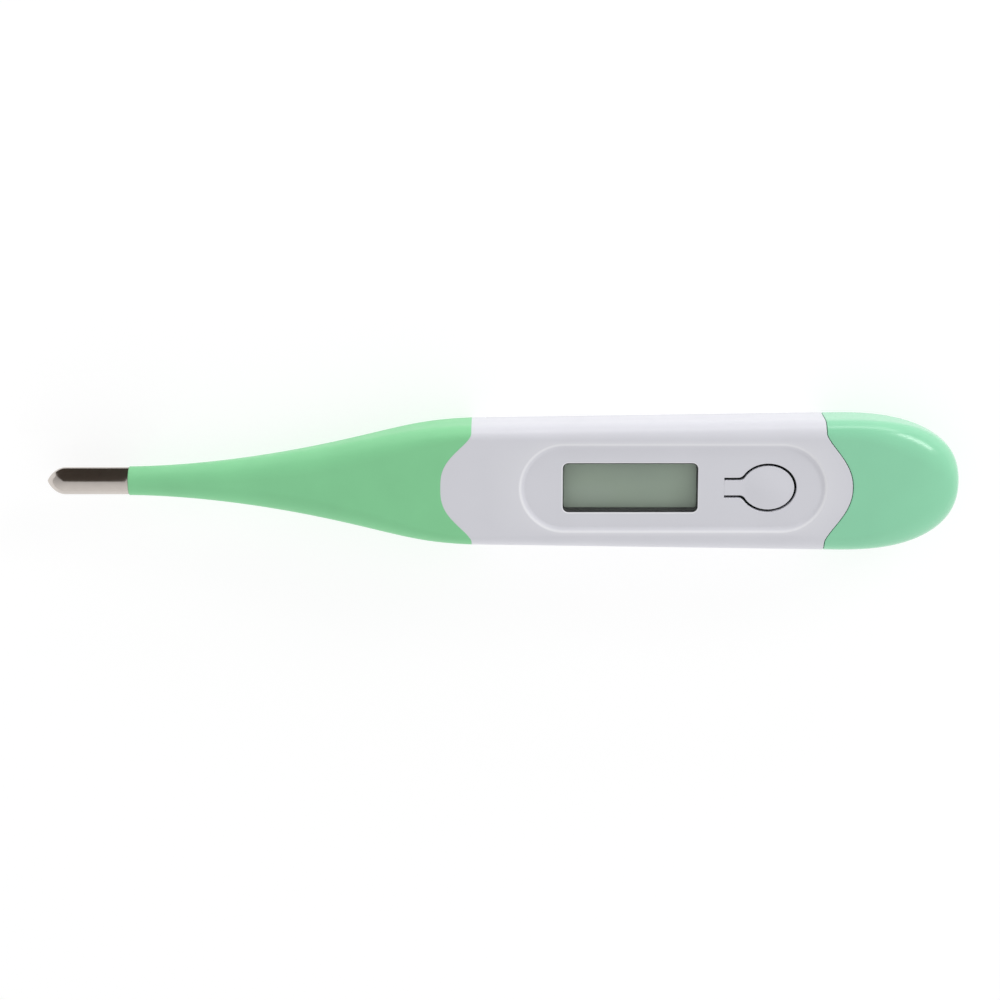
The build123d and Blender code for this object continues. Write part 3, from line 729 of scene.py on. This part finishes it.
def keyhole(grow, left_x, z):
    """Outline of the round key with its tongue, from the tongue's +Y end round to -Y."""
    long_axis, short_axis = BUTTON_AXES[0] + grow, BUTTON_AXES[1] + grow
    half = TONGUE_HALF + grow
    meet = asin(half / short_axis)
    leave = meet + BEND_LEAD
    corner_x = BUTTON_X - long_axis * cos(meet)
    leave_x, leave_y = BUTTON_X - long_axis * cos(leave), short_axis * sin(leave)
    run_end = corner_x - BEND_RUN
    upper = []
    for step in range(TONGUE_STEPS):
        upper.append((left_x + (run_end - left_x) * step / TONGUE_STEPS, half))
    for step in range(TONGUE_BEND_STEPS):
        t = step / TONGUE_BEND_STEPS
        before, at, after = (1 - t) ** 2, 2 * t * (1 - t), t * t
        x = before * run_end + at * corner_x + after * leave_x
        upper.append((x, before * half + at * half + after * leave_y))
    for step in range(KEY_STEPS):
        angle = leave + (pi - leave) * step / KEY_STEPS
        upper.append((BUTTON_X - long_axis * cos(angle), short_axis * sin(angle)))
    outline = [(x, y, z) for x, y in upper]
    outline.append((BUTTON_X + long_axis, 0.0, z))
    outline += [(x, -y, z) for x, y in reversed(upper)]
    for step in range(1, ROOT_STEPS):
        outline.append((left_x, -half + 2 * half * step / ROOT_STEPS, z))
    return outline


SHELL_WALL = 1.2
HOLD_SHIFT = 0.05  # from a seam's rounded edge to the row that holds it
FRONT_ROWS, MIDDLE_ROWS, REAR_ROWS = 8, 40, 5
SPIGOT_HALF = (7.6, 3.6)
SPIGOT_CORNER = 1.6
SPIGOT_MIDDLE = 51.0  # a plain row between the seam and the groove
SPIGOT_LEAD = 0.3
SPIGOT_TAPER = 0.15
BORE_SECTION = (6.5, 2.8, 0.4, 0.4)  # inside of the spigot
GROOVE_SECTION = (7.02, 3.02, 1.05, 1.05)
GROOVE_HALF = 0.37
FOOT = ((0.25, 0.0), (0.06, 0.06), (0.0, 0.25))  # growth and lift of the spigot's foot


def spigot(grow=0.0):
    """The spigot's section, or one that stands off it by grow."""
    corner = SPIGOT_CORNER + grow
    return section(SPIGOT_HALF[0] + grow, SPIGOT_HALF[1] + grow, corner, corner)


def plain_row(points, x):
    return [(x, y, z + MID_Z) for y, z in points]


def foot_row(points, lift):
    """A row that follows the rear seam."""
    return [(rear_seam(y) + lift, y, z + MID_Z) for y, z in points]


shape = Shape()
rear_xs = on_seam(rear_seam)
split_low, split_high = QUARTER + SIDE_STEPS, 3 * QUARTER - SIDE_STEPS

rows = [skin_ring(front_xs, SEAM_DEPTH)] + edge_rows(front_xs, 1, MOULDED_EDGE)
front_start = [x + MOULDED_EDGE for x in front_xs]
front_hold = [x + HOLD_SHIFT for x in front_start]
rows.append(skin_ring(front_hold))
cavity_front = [CAVITY_FRONT] * AROUND
for step in range(1, FRONT_ROWS + 1):
    rows.append(skin_ring(between(front_hold, cavity_front, step / FRONT_ROWS)))
first_plain = len(rows) - 1
cavity_rear = [CAVITY_REAR] * AROUND
for step in range(1, MIDDLE_ROWS + 1):
    rows.append(skin_ring(between(cavity_front, cavity_rear, step / MIDDLE_ROWS)))
last_plain = len(rows) - 1
rear_start = [x - EDGE for x in rear_xs]
rear_hold = [x - HOLD_SHIFT for x in rear_start]
for step in range(1, REAR_ROWS + 1):
    rows.append(skin_ring(between(cavity_rear, rear_hold, step / REAR_ROWS)))
hold_row = len(rows) - 1
rows += list(reversed(edge_rows(rear_xs, -1, EDGE)))

# The spigot that carries the battery cover, with the seal's groove
rows += [foot_row(spigot(grow), lift) for grow, lift in FOOT]
rows.append(plain_row(spigot(), SPIGOT_MIDDLE))
groove_edge = (
    (spigot(), GROOVE_HALF + 0.08),
    (spigot(-0.03), GROOVE_HALF + 0.02),
    (section(*GROOVE_SECTION), GROOVE_HALF),
)
rows += [plain_row(points, GROOVE_X - away) for points, away in groove_edge]
rows += [plain_row(points, GROOVE_X + away) for points, away in reversed(groove_edge)]
rows.append(plain_row(spigot(), SPIGOT_END - SPIGOT_LEAD))
rows.append(plain_row(spigot(-SPIGOT_TAPER), SPIGOT_END))
rows.append(plain_row(section(*BORE_SECTION), SPIGOT_END))
rows.append(plain_row(section(*BORE_SECTION), CAVITY_REAR))

grid = [shape.ring(row) for row in rows]
flat_columns = set(range(FLAT_STEPS - 1)) | set(range(AROUND - FLAT_STEPS + 1, AROUND))
low_columns = set(range(split_low, split_high))
for r, (one, two) in enumerate(zip(grid, grid[1:])):
    for c in range(AROUND):
        if first_plain <= r < hold_row and c in flat_columns:
            continue
        if first_plain <= r < last_plain and c in low_columns:
            continue
        d = (c + 1) % AROUND
        shape.face(one[c], one[d], two[d], two[c])

# Edges of the opening for the back cover
for row_index in (first_plain, last_plain):
    edge = [grid[row_index][c] for c in range(split_low, split_high + 1)]
    x = (edge[0].co / MM).x
    inner = skin_ring([x] * AROUND, SHELL_WALL)[split_low : split_high + 1]
    shape.strip(edge, shape.ring(inner), closed=False)
    shape.sharpen(edge)
for column, side in ((split_low, 1), (split_high, -1)):
    edge = [grid[r][column] for r in range(first_plain, last_plain + 1)]
    inner = [(v.co.x / MM, v.co.y / MM - side * SHELL_WALL, v.co.z / MM) for v in edge]
    shape.strip(edge, shape.ring(inner), closed=False)
    shape.sharpen(edge)

# Face with its recess, window and key slot
flat_order = list(range(AROUND - FLAT_STEPS + 1, AROUND)) + list(range(FLAT_STEPS))
outer_loop = [grid[first_plain][c] for c in flat_order]
outer_loop += [grid[r][FLAT_STEPS - 1] for r in range(first_plain + 1, hold_row + 1)]
outer_loop += [grid[hold_row][c] for c in reversed(flat_order[:-1])]
outer_loop += [grid[r][flat_order[0]] for r in range(hold_row - 1, first_plain, -1)]

RECESS_DEPTH = TOP_Z - FLOOR_Z
RECESS_SLOPE = 0.9  # width of the slope round the recess
RECESS_ROWS = 10
HIGHLIGHT_INSET, HIGHLIGHT_REACH = 0.2, 0.3  # place and half width of the painted highlight on the slope
recess_profile = [(-HOLD, 0.0), (0.0, 0.0)]
for step in range(1, RECESS_ROWS + 1):
    share = step / RECESS_ROWS
    recess_profile.append((RECESS_SLOPE * share, share * share * (3 - 2 * share)))
recess_profile.append((RECESS_SLOPE + HOLD, 1.0))
recess = []
# Rows near the recess's top edge carry a painted highlight through their rim weight
for inset, share in recess_profile:
    rim = max(0.0, 1.0 - abs(inset - HIGHLIGHT_INSET) / HIGHLIGHT_REACH)
    recess.append(shape.ring(stadium(inset, TOP_Z - share * RECESS_DEPTH), rim))
shape.strips(recess)
shape.fill(outer_loop, recess[0])


def window(grow, z):
    return rounded(
        WINDOW_X, WINDOW_HALF[0] + grow, WINDOW_HALF[1] + grow, WINDOW_CORNER + grow, z
    )


WINDOW_LIP = 0.14
SLOT_LIP = 0.1
LIP_STEPS = 4
lip_angles = [pi / 2 * step / LIP_STEPS for step in range(LIP_STEPS + 1)]


def slot_outline(grow, z):
    """The key's slot. Its lip stops at the hinge, where shell and tongue are one surface."""
    return keyhole(SLOT + grow, HINGE_X - max(grow - SLOT_LIP, 0.0), z)


def lip_rows(outline, radius, rim):
    """Rows of an opening: a hold row, a rounded lip and a wall down to the inner face; rim is
    the painted highlight on the lip's curved rows.
    """
    made = [outline(radius + HOLD, FLOOR_Z)]
    for angle in lip_angles:
        made.append(outline(radius * (1 - sin(angle)), FLOOR_Z - radius * (1 - cos(angle))))
    made.append(outline(0.0, INNER_Z))
    return [shape.ring(row, rim if 0 < i < LIP_STEPS else 0.0) for i, row in enumerate(made)]


# The window's rounded lip gets the full painted highlight
window_rows = lip_rows(window, WINDOW_LIP, 1.0)
shape.strips(window_rows)
slot_rows = lip_rows(slot_outline, SLOT_LIP, 0.0)
shape.strips(slot_rows)
shape.fill(recess[-1], window_rows[0], slot_rows[0])
shape.finish("housing_shell", "white_abs", "housing", "front_housing")

# --------------------------------------------------------------------------------------
# Back cover
# --------------------------------------------------------------------------------------

shape = Shape()
PAN_FRONT, PAN_REAR = CAVITY_FRONT + PAN_GAP, CAVITY_REAR - PAN_GAP
PAN_WALL = 1.0
PAN_ROWS = 24
PAN_EDGE = ((0, PAN_WALL), (0, EDGE), (0.03, 0.03), (EDGE, 0.0))  # shift along X and inset
columns = range(split_low, split_high + 1)


def pan_row(x, inset):
    """A row of the pan's outside, moved inward by inset and cut off at the pan's top."""
    ring = skin_ring([x] * AROUND, inset)
    return [(ring[c][0], ring[c][1], min(ring[c][2], PAN_Z)) for c in columns]


rows = [pan_row(PAN_FRONT + shift, inset) for shift, inset in PAN_EDGE]
plain_length = PAN_REAR - PAN_FRONT - 2 * EDGE
for step in range(1, PAN_ROWS):
    rows.append(pan_row(PAN_FRONT + EDGE + plain_length * step / PAN_ROWS, 0.0))
rows += [pan_row(PAN_REAR - shift, inset) for shift, inset in reversed(PAN_EDGE)]
grid = [shape.ring(row) for row in rows]
shape.strips(grid, closed=False)
for index, side in ((0, 1), (-1, -1)):
    edge = [row[index] for row in grid[1:-1]]
    inner = [(v.co.x / MM, v.co.y / MM - side * PAN_WALL, v.co.z / MM) for v in edge]
    shape.strip(edge, shape.ring(inner), closed=False)
    shape.sharpen(edge)
shape.finish("back_pan", "white_abs", "housing", "back_cover")

# --------------------------------------------------------------------------------------
# Battery cover
# --------------------------------------------------------------------------------------

shape = Shape()
cover_xs = on_seam(rear_seam, COVER_GAP)
POCKET_GAP = 0.2  # between the spigot and the cover's pocket, round it and at its end
POCKET_FOOT = 51.2  # where the pocket starts to follow the seam
POCKET_ROWS = 5
MOUTH_GAP = 0.35
MOUTH_DEPTH = 0.3
DOME_FROM = 52.0  # the rows are plain beyond this, and get closer towards the end
COVER_ROWS, DOME_ROWS = 8, 56
DOME_LAST = radians(87)
DOME_END_GAP = 0.001

pocket = spigot(POCKET_GAP)
pocket_end = SPIGOT_END + POCKET_GAP
rings = [shape.ring(plain_row(pocket, pocket_end))]
shape.cap(rings[0])
for step in range(1, POCKET_ROWS + 1):
    x = pocket_end + (POCKET_FOOT - pocket_end) * step / POCKET_ROWS
    rings.append(shape.ring(plain_row(pocket, x)))
rings.append(shape.ring(foot_row(pocket, MOUTH_DEPTH)))
rings.append(shape.ring(foot_row(spigot(MOUTH_GAP), COVER_GAP)))
rings += [shape.ring(row) for row in edge_rows(cover_xs, 1, EDGE)]
cover_start = [x + EDGE for x in cover_xs]
dome_start = [DOME_FROM] * AROUND
for step in range(1, COVER_ROWS + 1):
    rings.append(shape.ring(skin_ring(between(cover_start, dome_start, step / COVER_ROWS))))
first = asin((DOME_FROM - DOME_X) / DOME_LENGTH * DOME_LIMIT)
for step in range(1, DOME_ROWS + 1):
    angle = first + (DOME_LAST - first) * step / DOME_ROWS
    x = DOME_X + sin(angle) / DOME_LIMIT * DOME_LENGTH
    rings.append(shape.ring(skin_ring([min(x, RIGHT_X - DOME_END_GAP)] * AROUND)))
shape.strips(rings)
shape.cap(rings[-1])
shape.finish("cover_shell", "mint_abs", "battery_cover", "battery_cover")

# --------------------------------------------------------------------------------------
# Key, lens and window edge
# --------------------------------------------------------------------------------------

shape = Shape()
KEY_EDGE = 0.1
ROOT_GAP = 0.01
ROOT_RELIEF = 0.1  # the tongue's root leans back by this much, so that it clears the shell
UNDERSIDE_INSET = 0.25
CROWN = high("button")[2] - FLOOR_Z
CROWN_SHARE = 0.93  # of the key's axes
CROWN_POWER = 1.3
CROWN_ROWS, CROWN_STEPS = 15, 96
POST_END = high("key_rubber")[2] + 0.05
POST = ((INNER_Z, 1.1), (POST_END + 0.2, 1.1), (POST_END + 0.06, 1.04), (POST_END, 0.9))


def key_outline(grow, z):
    """The key, whose rounded rim leaves out the tongue's root."""
    return keyhole(grow, HINGE_X + ROOT_GAP + max(-KEY_EDGE - grow, 0.0), z)


def along_z(along, radius, angle):
    return BUTTON_X + radius * cos(angle), radius * sin(angle), along


rows = [
    keyhole(-UNDERSIDE_INSET, HINGE_X + ROOT_RELIEF + UNDERSIDE_INSET, INNER_Z),
    keyhole(0, HINGE_X + ROOT_RELIEF, INNER_Z),
]
for angle in lip_angles:
    z = FLOOR_Z - KEY_EDGE * (1 - sin(angle))
    rows.append(key_outline(-KEY_EDGE * (1 - cos(angle)), z))
rows.append(key_outline(-KEY_EDGE - HOLD, FLOOR_Z))
rings = [shape.ring(row) for row in rows]
shape.strips(rings)
crown_rings = []
for step in range(CROWN_ROWS):
    share = CROWN_SHARE * (1 - step / CROWN_ROWS)
    z = FLOOR_Z + CROWN * (1 - (share / CROWN_SHARE) ** 2) ** CROWN_POWER
    ring = []
    for i in range(CROWN_STEPS):
        angle = 2 * pi * i / CROWN_STEPS
        x = BUTTON_X + BUTTON_AXES[0] * share * cos(angle)
        ring.append((x, BUTTON_AXES[1] * share * sin(angle), z))
    crown_rings.append(shape.ring(ring))
shape.strips(crown_rings)
shape.cap(crown_rings[-1])
shape.fill(rings[-1], crown_rings[0])
shape.fill(rings[0])
post = lathe(shape, POST, along_z)
shape.cap(post[-1])
shape.finish("key_top", "white_abs", "button", "button")

shape = Shape()
LENS_GAP = 0.11  # between the lens and the window's wall
LENS_EDGE = 0.1
LENS_LOW = low("display_lens")[2]
FLANGE_WIDTH, FLANGE_TOP = 1.2, LENS_LOW + 0.6
LENS_PROFILE = (
    (-LENS_EDGE - HOLD, LENS_TOP),
    (-LENS_EDGE, LENS_TOP),
    (-0.03, LENS_TOP - 0.03),
    (0, LENS_TOP - LENS_EDGE),
    (0, FLANGE_TOP),
    (FLANGE_WIDTH, FLANGE_TOP),
    (FLANGE_WIDTH, LENS_LOW),
    (FLANGE_WIDTH - HOLD, LENS_LOW),
)
rings = [shape.ring(window(grow - LENS_GAP, z)) for grow, z in LENS_PROFILE]
shape.strips(rings)
shape.fill(rings[0])
shape.fill(rings[-1])
shape.finish("lens", "clear_plastic", "housing", "display_lens")

shape = Shape()
LINER_LEAN = 0.3  # the liner's -Y wall leans in by this much at the display
LINER_LOW = high("lcd_front_polariser")[2] + 0.01
LINER_EDGE, LINER_TOP = FLOOR_Z - 0.2, FLOOR_Z - 0.17
LINER_PROFILE = (
    (-0.01, LINER_LOW),
    (-0.01, LINER_EDGE),
    (-0.03, LINER_TOP),
    (-0.08, LINER_TOP),
    (-0.1, LINER_EDGE),
    (-0.12, LINER_LOW),
)
rings = [shape.ring(window(grow, z)) for grow, z in LINER_PROFILE]
for vertex in rings[-1]:
    vertex.co.y = max(vertex.co.y, -(WINDOW_HALF[1] - LINER_LEAN) * MM)
rings.append(rings[0])
shape.strips(rings)
shape.finish("window_liner", "adhesive", "housing", "lens_gasket")

# --------------------------------------------------------------------------------------
# Probe, wires and their sleeve, rubber key
# --------------------------------------------------------------------------------------

shape = Shape()
NOSE_LENGTH = 2.6
NOSE_ROWS, NOSE_POWER = 32, 0.78
BARREL_ROWS = 12
BARREL_EDGE = 0.06  # rounding at the barrel's end
NECK_RADIUS = TIP_RADIUS - 0.45
BORE_RADIUS = NECK_RADIUS - 0.2
WIDE_BORE_RADIUS = TIP_RADIUS - 0.2
BORE_START = LEFT_X + 5.05
profile = []
for step in range(1, NOSE_ROWS + 1):
    share = (step / NOSE_ROWS) ** 2
    radius = TIP_RADIUS * (1 - (1 - share) ** 2) ** NOSE_POWER
    profile.append((LEFT_X + NOSE_LENGTH * share, radius))
barrel = SHOULDER_X - LEFT_X - NOSE_LENGTH - BARREL_EDGE
for step in range(1, BARREL_ROWS + 1):
    profile.append((LEFT_X + NOSE_LENGTH + barrel * step / BARREL_ROWS, TIP_RADIUS))
profile += [
    (SHOULDER_X - 0.02, TIP_RADIUS - 0.02),
    (SHOULDER_X, TIP_RADIUS - BARREL_EDGE),
    (SHOULDER_X, NECK_RADIUS + 0.02),
    (SHOULDER_X + 0.02, NECK_RADIUS),
    (NECK_X - 0.05, NECK_RADIUS),
    (NECK_X, NECK_RADIUS - 0.05),
    (NECK_X, BORE_RADIUS + 0.03),
    (NECK_X - 0.05, BORE_RADIUS),
    (SHOULDER_X - 0.2, BORE_RADIUS),
    (SHOULDER_X - 0.2, WIDE_BORE_RADIUS),
    (BORE_START, WIDE_BORE_RADIUS),
]
rings = lathe(shape, profile, along_x, 96)
shape.cap(rings[0])
probe = shape.finish("probe_shell", "steel", "probe", "probe_tip")


def tube(shape, path, radius, steps=16):
    """A tube along points in one plane of constant y."""
    rings = []
    for i, (x, y, z) in enumerate(path):
        before, after = path[max(0, i - 1)], path[min(len(path) - 1, i + 1)]
        heading = Vector((after[0] - before[0], 0, after[2] - before[2])).normalized()
        normal = Vector((-heading.z, 0, heading.x))
        ring = []
        for k in range(steps):
            angle = 2 * pi * k / steps
            offset = normal * (radius * cos(angle)) + Vector((0, radius * sin(angle), 0))
            ring.append((x + offset.x, y + offset.y, z + offset.z))
        rings.append(shape.ring(ring))
    shape.strips(rings)
    shape.cap(rings[0])
    shape.cap(rings[-1])


WIRE_RADIUS = 0.15
WIRE_BEND_X = -3.3  # where the wires leave the stem's middle for the board
WIRE_ROWS, WIRE_BEND_ROWS = 89, 16
wire_low, wire_high = low("sensor_wires"), high("sensor_wires")
pad_z = high("circuit_board")[2] + WIRE_RADIUS
pad_x = low("circuit_board")[0] + 0.4
shape = Shape()
for side in (-1, 1):
    y = side * (wire_high[1] - WIRE_RADIUS)
    path = []
    for step in range(WIRE_ROWS + 1):
        x = wire_low[0] + (WIRE_BEND_X - wire_low[0]) * step / WIRE_ROWS
        path.append((x, y, MID_Z))
    for step in range(1, WIRE_BEND_ROWS + 1):
        share = step / WIRE_BEND_ROWS
        fall = share * share * (3 - 2 * share)
        x = WIRE_BEND_X + (pad_x - WIRE_BEND_X) * share
        path.append((x, y, MID_Z + (pad_z - MID_Z) * fall))
    path.append((wire_high[0], y, pad_z))
    tube(shape, path, WIRE_RADIUS)
wires = shape.finish("stem_wires", "wire", None, "sensor_wires")
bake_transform(wires)

shape = Shape()
SLEEVE_RADIUS, SLEEVE_BORE = 0.75, 0.55
SLEEVE_EDGE = 0.04
SLEEVE_ROWS = 80
SAME_POINT = 1e-7  # in metres
sleeve_start, sleeve_end = low("wire_sleeve")[0], high("wire_sleeve")[0]
sleeve_length = sleeve_end - sleeve_start
profile = [
    (sleeve_start, SLEEVE_BORE + 0.01),
    (sleeve_start, SLEEVE_RADIUS - 0.03),
    (sleeve_start + SLEEVE_EDGE, SLEEVE_RADIUS),
]
for step in range(1, SLEEVE_ROWS):
    profile.append((sleeve_start + sleeve_length * step / SLEEVE_ROWS, SLEEVE_RADIUS))
profile += [
    (sleeve_end - SLEEVE_EDGE, SLEEVE_RADIUS),
    (sleeve_end, SLEEVE_RADIUS - 0.03),
    (sleeve_end, SLEEVE_BORE + 0.01),
]
for step in range(1, SLEEVE_ROWS):
    profile.append((sleeve_end - sleeve_length * step / SLEEVE_ROWS, SLEEVE_BORE))
profile.append(profile[0])
lathe(shape, profile, along_x, 32)
bmesh.ops.remove_doubles(shape.mesh, verts=shape.mesh.verts[:], dist=SAME_POINT)
sleeve = shape.finish("stem_sleeve", "sleeve", None, "wire_sleeve")
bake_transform(sleeve)

shape = Shape()
board_top = high("circuit_board")[2]
key_top_z = high("key_rubber")[2]
DOME_OUTSIDE = (  # height above the board and radius
    (0.0, 2.6),
    (0.0, 3.25),
    (0.06, 3.3),
    (0.5, 3.3),
    (0.55, 3.24),
    (0.56, 2.85),
    (0.75, 2.6),
    (1.35, 1.75),
    (1.55, 1.52),
)
DOME_TOP = ((0.1, 1.5), (0.03, 1.47), (0.0, 1.4))  # depth below the top and radius
DOME_INSIDE = ((0.0, 2.6), (1.0, 1.4), (1.05, 1.2))
profile = [(board_top + rise, radius) for rise, radius in DOME_OUTSIDE]
profile += [(key_top_z - drop, radius) for drop, radius in DOME_TOP]
rings = lathe(shape, profile, along_z)
shape.cap(rings[-1])
rings = lathe(shape, [(board_top + rise, radius) for rise, radius in DOME_INSIDE], along_z)
shape.cap(rings[-1])
rubber = shape.finish("key_dome", "silicone", "housing", "key_rubber")
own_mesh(rubber)

# --------------------------------------------------------------------------------------
# Floor and light
# --------------------------------------------------------------------------------------

FLOOR_SPAN = 3.0
FLOOR_LEVEL = -0.00002
FLOOR_GREY = 0.35
FLOOR_ROUGHNESS = 0.6
FLOOR_GLOW = 0.71
FLAG_COLOUR = (0.05, 0.036, 0.026, 1)
FLAG_LEFT, FLAG_RIGHT, FLAG_HEIGHT = -0.07, -0.05, 0.06
SKY_SIDE = (-0.35, 0.94, 0.0)  # the sky gets darker in this direction
SKY_BRIGHT, SKY_DARK = 1.0, 0.42


def staged(name, corners, colour, roughness):
    """A flat sheet that belongs to the picture and not to the part."""
    material = bpy.data.materials.new(name)
    material.use_nodes = True
    shader = material.node_tree.nodes["Principled BSDF"]
    shader.inputs["Base Color"].default_value = colour
    shader.inputs["Roughness"].default_value = roughness
    mesh = bpy.data.meshes.new(name)
    mesh.from_pydata(corners, [], [(0, 1, 2, 3)])
    mesh.materials.append(material)
    sheet = bpy.data.objects.new(name, mesh)
    bpy.context.scene.collection.objects.link(sheet)
    return sheet, shader


floor_corners = [
    (-FLOOR_SPAN, -FLOOR_SPAN, FLOOR_LEVEL),
    (FLOOR_SPAN, -FLOOR_SPAN, FLOOR_LEVEL),
    (FLOOR_SPAN, FLOOR_SPAN, FLOOR_LEVEL),
    (-FLOOR_SPAN, FLOOR_SPAN, FLOOR_LEVEL),
]
floor_grey = (FLOOR_GREY, FLOOR_GREY, FLOOR_GREY, 1)
_, floor_shader = staged("floor", floor_corners, floor_grey, FLOOR_ROUGHNESS)
floor_shader.inputs["Emission Color"].default_value = (1, 1, 1, 1)
floor_shader.inputs["Emission Strength"].default_value = FLOOR_GLOW

world = bpy.data.worlds.new("world")
world.use_nodes = True
world_nodes, world_links = world.node_tree.nodes, world.node_tree.links
sky_place = world_nodes.new("ShaderNodeTexCoord")
sky_side = world_nodes.new("ShaderNodeVectorMath")
sky_side.operation = "DOT_PRODUCT"
sky_side.inputs[1].default_value = SKY_SIDE
sky_span = world_nodes.new("ShaderNodeMapRange")
sky_span.inputs["From Min"].default_value = -1.0
sky_span.inputs["From Max"].default_value = 1.0
sky_span.inputs["To Min"].default_value = SKY_BRIGHT
sky_span.inputs["To Max"].default_value = SKY_DARK
world_links.new(sky_place.outputs["Generated"], sky_side.inputs[0])
world_links.new(sky_side.outputs["Value"], sky_span.inputs["Value"])
world_links.new(sky_span.outputs["Result"], world_nodes["Background"].inputs["Strength"])
world_nodes["Background"].inputs["Color"].default_value = (1, 1, 1, 1)
bpy.context.scene.world = world


def softbox(name, place, target, width, height, power):
    data = bpy.data.lights.new(name, "AREA")
    data.shape = "RECTANGLE"
    data.size, data.size_y = width, height
    data.energy = power
    lamp = bpy.data.objects.new(name, data)
    lamp.location = place
    heading = Vector(target) - Vector(place)
    lamp.rotation_euler = heading.to_track_quat("-Z", "Y").to_euler()
    bpy.context.scene.collection.objects.link(lamp)
    return lamp


key_light = softbox("key", (0.0, 0.6, 0.1), (0, 0, 0.005), 0.8, 0.16, 1.15)
side_light = softbox("side", (0.5, 0.42, 0.26), (0.03, 0, 0.005), 0.3, 0.12, 0.9)

# The softboxes leave the bare steel alone, so that it mirrors only the flag and the sky
spared = bpy.data.collections.new("spared_from_softboxes")
spared.objects.link(probe)
for lamp in (key_light, side_light):
    lamp.light_linking.receiver_collection = spared
spared.collection_objects[0].light_linking.link_state = "EXCLUDE"

# A dark sheet beside the probe, seen only as its reflection in the steel
flag_corners = [
    (FLAG_LEFT, 0.006, 0.0),
    (FLAG_RIGHT, 0.006, 0.0),
    (FLAG_RIGHT, 0.004, FLAG_HEIGHT),
    (FLAG_LEFT, 0.004, FLAG_HEIGHT),
]
flag, _ = staged("flag", flag_corners, FLAG_COLOUR, 1.0)
flag.visible_camera = False
flag.visible_diffuse = False
flag.visible_shadow = False
flag.visible_transmission = False
